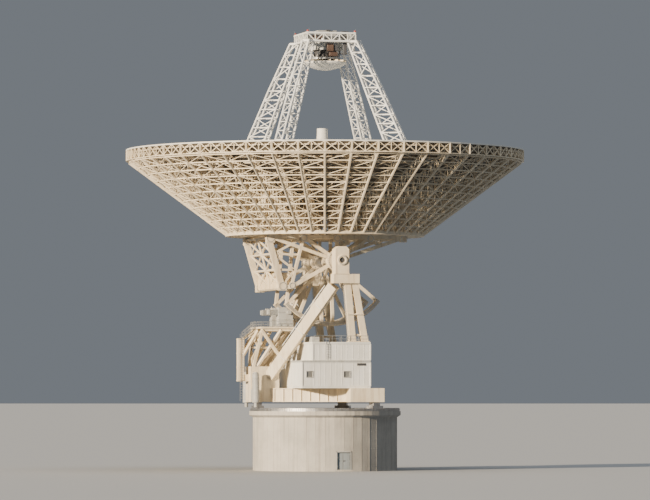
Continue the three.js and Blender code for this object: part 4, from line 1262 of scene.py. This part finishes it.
assemble("platform_rail", "alidade", [
    bar_set("platform_grating", grating, 0.024, galvanized, tone=0.2),
    bar_set("platform_rails", rails, 0.044, galvanized),
])
braces = [[tip(x, side * y, z) for x, y, z in brace] for side in (-1, 1) for brace in PLATFORM_BRACES]
assemble("platform_bracing", "alidade", [
    bar_set("platform_bracing", braces, 0.34, frame_paint, sides=6, tone=0.2),
])

# %% Rear post and its stair
POST_X, POST_HALF = -15.3, 0.55
STAIR_FOOT, STAIR_HEAD = Vector((POST_X + 0.3, 0, 23.2)), Vector((-12.7, 0, 25.1))
band_half = (POST_HALF + 0.06, POST_HALF + 0.06, 0.07)
post_bands = [block((POST_X, 0, z + 0.07), band_half) for z in (15.7, 18.0, 20.4, 22.9)]
post_ladder = ladder_bars((POST_X, -POST_HALF - 0.2, 12.2), (POST_X, -POST_HALF - 0.2, 23.9))
stair_rail = []
for y in (-0.4, 0.4):
    ends = [STAIR_FOOT + Vector((0, y, 0)), STAIR_HEAD + Vector((0, y, 0))]
    stair_rail += railing_bars(ends, height=1.0, pitch=0.8) + [tuple(ends)]
treads = [block(STAIR_FOOT.lerp(STAIR_HEAD, share), (0.12, 0.4, 0.02)) for share in steps(0.04, 0.96, 9)]
assemble("rear_stair", "alidade", [
    slabs("post_bands", post_bands, frame_paint, bevel=0.016),
    slabs("stair_treads", treads, galvanized),
    bar_set("post_ladder", post_ladder, 0.04, galvanized),
    bar_set("stair_rail", stair_rail, 0.045, galvanized),
])

# %% Drives
AZIMUTH_MOTOR_X, AZIMUTH_MOTOR_Y = -13.4, 3.4
MOTOR_CORE, MOTOR_FIN = 0.6, 0.66
FIN_START, FIN_PITCH, FIN_COUNT = 13.2, 0.22, 14
GEARBOX_REAR, GEARBOX_FRONT, GEARBOX_TOP, GEARBOX_HALF = -9.22, -6.62, 28.44, 0.8
DRIVE_Y, MOTOR_Z, MOTOR_END = 2.3, 27.64, -10.92
FLANGE_REACH = 0.1
FLANGE_LEVELS = (DECK_TOP, 26.3, 27.6)


def azimuth_motor(name, side):
    """Cooling fins round an upright azimuth drive, with bolts at both ends."""
    centre = Vector((AZIMUTH_MOTOR_X, side * AZIMUTH_MOTOR_Y, 0))
    outline = [(0, 13.0), (0.55, 13.0)]
    for i in range(FIN_COUNT):
        z = FIN_START + FIN_PITCH * i
        outline += [(MOTOR_CORE, z), (MOTOR_FIN, z + 0.04), (MOTOR_FIN, z + 0.1), (MOTOR_CORE, z + 0.12)]
    outline += [(MOTOR_CORE, 16.5), (MOTOR_CORE, 16.9), (0, 16.9)]
    bolts = [(centre + spot, UP) for z in (12.6, 16.95) for spot, _ in level_circle(12, 0.52, z)]
    assemble("azimuth_motor_" + name, "alidade", [
        lathe("motor_fins", outline, grey_paint, sides=40, centre=centre),
        heads("motor_bolts", bolts, 0.06, 0.1, galvanized),
    ])


def gearbox_flanges(middle):
    """The split flanges of a gearbox with the bolts that stand on their edges."""
    flanges, bolts = [], []
    centre_x = (GEARBOX_REAR + GEARBOX_FRONT) / 2
    half = (GEARBOX_FRONT - centre_x + FLANGE_REACH, GEARBOX_HALF + FLANGE_REACH, 0.05)
    row = GEARBOX_HALF + FLANGE_REACH / 2
    for z in FLANGE_LEVELS:
        flanges.append(block((centre_x, middle, z + 0.05), half))
        spots = [(x, middle + shift)
                 for x in steps(GEARBOX_REAR, GEARBOX_FRONT, 8) for shift in (-row, row)]
        spots += [(GEARBOX_REAR - FLANGE_REACH / 2, y) for y in steps(middle - 0.65, middle + 0.65, 4)]
        bolts += [((x, y, z + 0.12), UP) for x, y in spots]
    return flanges, bolts


def elevation_drive_details(name, side):
    """Flanges, a cover and lifting lugs on a gearbox, and fins and a fan cover on its motor."""
    middle = side * DRIVE_Y
    plates, bolts = gearbox_flanges(middle)
    plates += [
        block((GEARBOX_REAR - 0.035, middle, 25.8), (0.035, 0.55, 0.35)),
        block((GEARBOX_REAR + 1.2, middle, GEARBOX_TOP + 0.04), (0.9, 0.6, 0.04)),
        block((MOTOR_END - 0.08, middle, MOTOR_Z), (0.08, 0.38, 0.38)),
        block((MOTOR_END + 0.995, middle, MOTOR_Z + 0.56), (0.275, 0.22, 0.16)),
    ]
    for x in (GEARBOX_REAR + 0.12, GEARBOX_FRONT - 0.25):
        plates.append(block((x, middle, GEARBOX_TOP + 0.125), (0.05, 0.2, 0.125)))
    fins = [block((x, middle, MOTOR_Z), (0.02, 0.47, 0.47))
            for x in steps(MOTOR_END + 0.15, GEARBOX_REAR - 0.15, 12)]
    assemble("elevation_drive_details_" + name, "alidade", [
        slabs("drive_plates", plates, grey_paint, bevel=0.016),
        slabs("drive_fins", fins, grey_paint),
        heads("drive_bolts", bolts, 0.044, 0.06, galvanized),
    ])


for details in (azimuth_motor, elevation_drive_details):
    for name, side in SIDES:
        details(name, side)

# %% Base girder stiffeners
FEET = {"left": (6.1, 10.57, 0), "right": (6.1, -10.57, 0), "rear": (-12.2, 0, 0)}
GIRDERS = [("left", "left", "rear"), ("right", "right", "rear"), ("front", "left", "right")]
GIRDER_LOW, GIRDER_HIGH, GIRDER_HALF = 12.0, 14.4, 0.8
GIRDER_CLEAR = 3.1


def girder_ribs(name, start, end):
    """Flanges along the top and foot of a base girder and upright ribs on both its faces."""
    start, end = Vector(FEET[start]), Vector(FEET[end])
    line = end - start
    place = Matrix.Translation(start) @ Matrix.Rotation(atan2(line.y, line.x), 4, "Z")
    middle, half_height = (GIRDER_LOW + GIRDER_HIGH) / 2, (GIRDER_HIGH - GIRDER_LOW) / 2
    boxes = []
    for side in (-1, 1):
        for z in (GIRDER_LOW + 0.07, GIRDER_HIGH - 0.07):
            flange = (line.length / 2 - GIRDER_CLEAR, 0.12, 0.05)
            boxes.append(block((line.length / 2, side * (GIRDER_HALF + 0.12), z), flange, place))
        for x in steps(GIRDER_CLEAR + 0.2, line.length - GIRDER_CLEAR - 0.2, 9):
            rib = (0.04, 0.1, half_height - 0.1)
            boxes.append(block((x, side * (GIRDER_HALF + 0.1), middle), rib, place))
    assemble("girder_ribs_" + name, "alidade", [slabs("girder_ribs", boxes, frame_paint)])


for girder in GIRDERS:
    girder_ribs(*girder)

# %% [markdown]
# The equipment building rides on the alidade and is the brightest thing in the photograph:
# a long pale face in two storeys, a thin grey line between them, and two small dark vents.
# Its walls are insulated steel sheet in boards with narrow joints. The joints are modelled
# as strips that stand a little off the wall, with corner trims, and louvres in the vents.
# Black sheets behind the front louvres, and black strips for the slots high on the side walls, are painted
# shade.

# %% Building cladding
FRONT_WALL, REAR_WALL, UPPER_REAR, SIDE_WALL = 5.1, -7.1, -5.2, 11.4
STOREYS = [(14.75, 18.88, REAR_WALL), (19.25, 22.08, UPPER_REAR)]
BOARD, JOINT = 1.0, 0.035
TRIM, EDGE_HEIGHT = 0.06, 0.12
VENT_PLACES = [-5.8, 0.9]
VENT_MIDDLE, VENT_HALF_WIDTH, VENT_HALF_HEIGHT = 16.8, 0.55, 0.5
VENT_FRAME, VENT_DEPTH = 0.1, 0.09
FRONT_VENTS = [-7.5, 0.0, 7.5]
FRONT_VENT_DEPTH = 0.18
DOOR_X, DOOR_HALF, DOOR_FOOT, DOOR_TOP = -1.6, 0.55, 14.72, 16.9
JAMB_HALF = 0.065


def is_open(x, side, upper):
    """True where a strip at x would cross a vent or the door of the lower storey."""
    over_vent = any(abs(x - place) < VENT_HALF_WIDTH + 0.1 for place in VENT_PLACES)
    over_door = side > 0 and abs(x - DOOR_X) < DOOR_HALF + 0.1
    return not upper and (over_vent or over_door)


def wall_strips():
    """Upright strips at the board joints of all four walls, in both storeys."""
    boxes = []
    for upper, (low, high, rear) in enumerate(STOREYS):
        middle, rise = (low + high) / 2, (high - low) / 2
        along_x, along_y = (0.03, JOINT / 2, rise), (JOINT / 2, 0.03, rise)
        for side in (-1, 1):
            for x in steps(rear + 0.1, FRONT_WALL - 0.1, round((FRONT_WALL - rear) / BOARD)):
                if not is_open(x, side, upper):
                    boxes.append(block((x, side * (SIDE_WALL + JOINT / 2), middle), along_x))
        for y in steps(-SIDE_WALL + 0.1, SIDE_WALL - 0.1, round(2 * SIDE_WALL / BOARD)):
            for x in (FRONT_WALL + JOINT / 2, rear - JOINT / 2):
                boxes.append(block((x, y, middle), along_y))
    return boxes


def wall_trims():
    """Corner angles, and a strip round the foot and the head of each storey."""
    boxes = []
    for upper, (low, high, rear) in enumerate(STOREYS):
        corner = (0.09, 0.09, (high - low) / 2)
        boxes += [block((x, y, (low + high) / 2), corner)
                  for x in (rear, FRONT_WALL) for y in (-SIDE_WALL, SIDE_WALL)]
        for z in (low, high - EDGE_HEIGHT):
            top = z + EDGE_HEIGHT
            boxes.append(((rear - TRIM, -SIDE_WALL - TRIM, z), (FRONT_WALL + TRIM, -SIDE_WALL, top)))
            boxes.append(((FRONT_WALL, -SIDE_WALL, z), (FRONT_WALL + TRIM, SIDE_WALL, top)))
            boxes.append(((rear - TRIM, -SIDE_WALL, z), (rear, SIDE_WALL, top)))
            if upper or z > low:
                boxes.append(((rear - TRIM, SIDE_WALL, z), (FRONT_WALL + TRIM, SIDE_WALL + TRIM, top)))
    return boxes


def vent_parts(place, back=0.02):
    """The frame of one vent and its slanting louvre blades. Its own Y points out of the wall."""
    wide, tall = VENT_HALF_WIDTH, VENT_HALF_HEIGHT
    middle, half = (VENT_DEPTH - back) / 2, (VENT_DEPTH + back) / 2
    rim = VENT_FRAME / 2
    upright, level = (rim, half, tall + VENT_FRAME), (wide, half, rim)
    frames = [block((side * (wide + rim), middle, VENT_MIDDLE), upright, place) for side in (-1, 1)]
    frames += [block((0, middle, VENT_MIDDLE + side * (tall + rim)), level, place) for side in (-1, 1)]
    blades = []
    for z in steps(VENT_MIDDLE - tall + 0.08, VENT_MIDDLE + tall - 0.08, 7):
        slant = place @ Matrix.Translation((0, -0.1, z)) @ spin(38, "X")
        blades.append(block((0, 0, 0), (wide, 0.09, 0.012), slant))
    return frames, blades


vent_frames, vent_blades, vent_painted_shade = [], [], []
vents = [(Matrix.Translation((x, side * SIDE_WALL, 0)) @ spin(90 - 90 * side), 0.02)
         for x in VENT_PLACES for side in (-1, 1)]
for y in FRONT_VENTS:
    vents.append((Matrix.Translation((FRONT_WALL + FRONT_VENT_DEPTH, y, 0)) @ spin(-90), FRONT_VENT_DEPTH))
    # Behind the louvres of each front vent stands a black sheet: painted shade inside the vent.
    vent_painted_shade.append(block((FRONT_WALL + 0.02, y, VENT_MIDDLE), (0.02, VENT_HALF_WIDTH, VENT_HALF_HEIGHT)))
for vent in vents:
    frames, blades = vent_parts(*vent)
    vent_frames += frames
    vent_blades += blades
jamb_middle = (DOOR_FOOT + DOOR_TOP) / 2 + JAMB_HALF
jamb = (JAMB_HALF, 0.05, jamb_middle - DOOR_FOOT)
door_frame = [block((DOOR_X + side * (DOOR_HALF + JAMB_HALF), SIDE_WALL + 0.03, jamb_middle), jamb)
              for side in (-1, 1)]
lintel = (DOOR_HALF + 2 * JAMB_HALF, 0.05, JAMB_HALF)
door_frame.append(block((DOOR_X, SIDE_WALL + 0.03, DOOR_TOP + JAMB_HALF), lintel))
door_handle = [
    block((DOOR_X + 0.4, SIDE_WALL - 0.04, 15.82), (0.06, 0.02, 0.1)),
    block((DOOR_X + 0.37, SIDE_WALL - 0.01, 15.82), (0.09, 0.02, 0.02)),
]
assemble("building_cladding", "alidade", [
    slabs("wall_strips", wall_strips(), wall_paint),
    slabs("wall_trims", wall_trims(), wall_paint),
    slabs("vent_frames", vent_frames, grey_paint),
    slabs("vent_blades", vent_blades, grey_paint),
    slabs("vent_painted_shade", vent_painted_shade, painted_shade_black),
    slabs("door_frame", door_frame, grey_paint),
    slabs("door_handle", door_handle, machined_steel),
])

# %% Roof rails, landing and cooling units
ROOF, ROOF_INSET, LADDER_HEAD = 22.4, 0.3, 23.3
LANDING_REAR, LANDING_FRONT, LANDING_TOP = -3.4, 0.2, 14.68
LANDING_NEAR, LANDING_FAR = SIDE_WALL + 0.05, SIDE_WALL + 1.15
roof_rear, roof_front, roof_side = UPPER_REAR + ROOF_INSET, FRONT_WALL - ROOF_INSET, SIDE_WALL - ROOF_INSET
roof_path = [(roof_rear, -roof_side, ROOF), (roof_front, -roof_side, ROOF),
             (roof_front, roof_side, ROOF), (roof_rear, roof_side, ROOF)]
landing_path = [(LANDING_REAR, LANDING_NEAR, LANDING_TOP), (LANDING_REAR, LANDING_FAR, LANDING_TOP),
                (LANDING_FRONT, LANDING_FAR, LANDING_TOP)]
landing_edge = [((LANDING_REAR, LANDING_NEAR, 14.55), (LANDING_FRONT, LANDING_FAR, 14.61))]
landing_bars = [((x, LANDING_NEAR + 0.03, LANDING_TOP + 0.01), (x, LANDING_FAR - 0.03, LANDING_TOP + 0.01))
                for x in steps(LANDING_REAR + 0.05, LANDING_FRONT - 0.05, 20)]
brackets = [((x, SIDE_WALL, 13.9), (x, SIDE_WALL + 1.1, 14.56)) for x in (-3.2, -1.6, 0.0)]
ladders = ladder_bars((-2.6, -SIDE_WALL - 0.2, 19.4), (-2.6, -SIDE_WALL - 0.2, LADDER_HEAD))
ladders += ladder_bars((-4.2, SIDE_WALL + 0.2, 14.7), (-4.2, SIDE_WALL + 0.2, LADDER_HEAD))
cooler_spots = [(-3.6, y) for y in (-6.2, 6.2, -2.6)]
coolers = [block((x, y, ROOF + 0.475), (0.7, 0.9, 0.475)) for x, y in cooler_spots]
# Each fan is a black disc on the cooler's roof: painted shade in the fan's shroud.
fans = [((x, y + shift, ROOF + 0.97), UP) for x, y in cooler_spots for shift in (-0.45, 0.45)]
# Two black strips high on the lower storey's side walls are painted shade where the slots there would be
# dark.
slots = [block((3.5, side * (SIDE_WALL + 0.025), 18.51), (0.8, 0.045, 0.21)) for side in (-1, 1)]
assemble("building_fittings", "alidade", [
    slabs("landing_edge", landing_edge, galvanized),
    bar_set("landing_grating", landing_bars, 0.02, galvanized),
    bar_set("landing_brackets", brackets, 0.06, galvanized),
    bar_set("building_rails", railing_bars(roof_path) + railing_bars(landing_path), 0.045, galvanized),
    bar_set("roof_ladders", ladders, 0.04, galvanized),
    slabs("coolers", coolers, grey_paint, bevel=0.03),
    heads("cooler_fans", fans, 0.34, 0.1, painted_shade_black, sides=24),
    slabs("eaves_painted_shade", slots, painted_shade_black, bevel=0.016),
])

# %% [markdown]
# The pedestal is a plain concrete drum, of which the photograph shows next to nothing. Cast
# concrete of this age shows the joints of its forms, tie holes in rows, and rain streaks
# under the projecting roof, so those are what it gets, with a steel door in a steel frame.

# %% Pedestal details
WALL_RADIUS = 12.65
FORMS = 48
DOORWAY_TURN, DOORWAY_HALF, DOORWAY_TOP = 270, 8.5, 3.9


def is_doorway(angle, z):
    """True near the doorway, which is in the wall at azimuth 270."""
    return abs((angle - DOORWAY_TURN + 180) % 360 - 180) < DOORWAY_HALF and z < DOORWAY_TOP


form_ribs, tie_places = [], []
for angle in steps(0, 360, FORMS)[:-1]:
    low = 4.0 if is_doorway(angle, 0) else 0.05
    form_ribs.append(((WALL_RADIUS - 0.09, -0.03, low), (WALL_RADIUS + 0.02, 0.03, 9.25), spin(angle)))
    for z in (0.9, 2.4, 3.9, 5.4, 6.9, 8.4):
        for shift in (-2.4, 2.4):
            if not is_doorway(angle + shift, z):
                turn = angle + 180 / FORMS + shift / 2
                tie_places.append((polar(WALL_RADIUS, turn, z), polar(1, turn, 0)))
frame_parts = [
    ((-1.36, -12.66, 0.3), (-1.2, -12.3, 3.46)), ((1.2, -12.66, 0.3), (1.36, -12.3, 3.46)),
    ((-1.36, -12.66, 3.3), (1.36, -12.3, 3.46)),
]
panels = [block((side * 0.58, -12.355, z), (0.52, 0.025, half))
          for z, half in ((1.1, 0.6), (2.475, 0.625)) for side in (-1, 1)]
furniture = [block((side * 0.14, -12.385, 1.82), (0.04, 0.055, 0.16)) for side in (1, -1)]
furniture += [block((side * 1.13, -12.375, z), (0.04, 0.045, 0.11))
              for side in (-1, 1) for z in (0.81, 1.81, 2.91)]
assemble("pedestal_details", "pedestal", [
    slabs("form_ribs", form_ribs, concrete),
    heads("tie_holes", tie_places, 0.048, 0.04, grey_paint, sides=10),
    slabs("pedestal_door_frame", frame_parts, grey_paint),
    slabs("pedestal_door_panels", panels, door_paint, bevel=0.024),
    slabs("pedestal_door_furniture", furniture, galvanized),
])

# %% Runner teeth and hold-down bolts
RUNNER_OUTER, RUNNER_TOP = 13.1, 10.9
RACK_TEETH = 240
rack_box = block((RUNNER_OUTER + 0.02, 0, 10.68), (0.04, 0.11, 0.18))
rack_tooth = slabs("rack_tooth", [rack_box], machined_steel)
hold_down = level_circle(120, 12.95, RUNNER_TOP) + level_circle(120, 11.45, RUNNER_TOP)
assemble("runner_details", "pedestal", [
    turned_copies("rack_teeth", rack_tooth, RACK_TEETH, 360 / RACK_TEETH, 0, machined_steel, tone=0.2),
    heads("hold_down_bolts", hold_down, 0.08, 0.1, galvanized),
])

# %% [markdown]
# The photograph was taken from far off, slightly to the left of the dish's front, through a
# long lens: lines that are level stay level and the dish shows its underside only because
# it is high up. So the camera stands 400 m away, near the ground; sizes in this cell are
# those of the model. The light is a warm lamp low on the left, as the sun was, which models
# the lattice and leaves the right side in shade. A wide cool lamp overhead and a pale world
# fill that shade. The floor is plain, and it throws no light up at the dish.

# %% Camera and light
CAMERA_PLACE = Vector((-104.3, -389.3, 6.76))
CAMERA_AIM = Vector((0.0, 0.0, 19.35))
LENS, SENSOR, FAR_CLIP = 254.0, 36.0, 3000.0
KEY_DIRECTION, OVERHEAD_DIRECTION = Vector((-0.87, -0.49, 0.2)), Vector((0.1, -0.15, 1.0))
FLOOR_SIZE = 6000


def stand(obj, place, target):
    """Links an object, puts it in its place and turns its minus Z towards a target."""
    bpy.context.collection.objects.link(obj)
    obj.location = place
    obj.rotation_euler = (target - obj.location).to_track_quat("-Z", "Y").to_euler()


def sun(name, direction, strength, colour, softness):
    """A distant lamp that shines from a direction."""
    lamp = bpy.data.lights.new(name, "SUN")
    lamp.energy = strength
    lamp.color = colour
    lamp.angle = radians(softness)
    stand(bpy.data.objects.new(name, lamp), direction.normalized() * 200, Vector())


camera = bpy.data.objects.new("camera", bpy.data.cameras.new("camera"))
stand(camera, CAMERA_PLACE, CAMERA_AIM)
camera.data.lens = LENS
camera.data.sensor_width = SENSOR
camera.data.clip_end = FAR_CLIP
bpy.context.scene.camera = camera

sun("key", KEY_DIRECTION, 9.5, (1.0, 0.84, 0.63), 3.0)
sun("overhead", OVERHEAD_DIRECTION, 0.9, (0.86, 0.92, 1.0), 50.0)

world = bpy.data.worlds.new("studio")
world.use_nodes = True
background = world.node_tree.nodes["Background"]
background.inputs["Color"].default_value = (0.78, 0.86, 0.96, 1.0)
background.inputs["Strength"].default_value = 0.22
bpy.context.scene.world = world

floor_material, _, floor_surface, _ = shader("studio_floor")
floor_surface.inputs["Base Color"].default_value = (0.5, 0.5, 0.49, 1.0)
floor_surface.inputs["Roughness"].default_value = 0.9
bpy.ops.mesh.primitive_plane_add(size=FLOOR_SIZE, location=(0, 0, 0))
floor = bpy.context.object
floor.name = "studio_floor"
floor.data.materials.append(floor_material)
floor.visible_diffuse = False
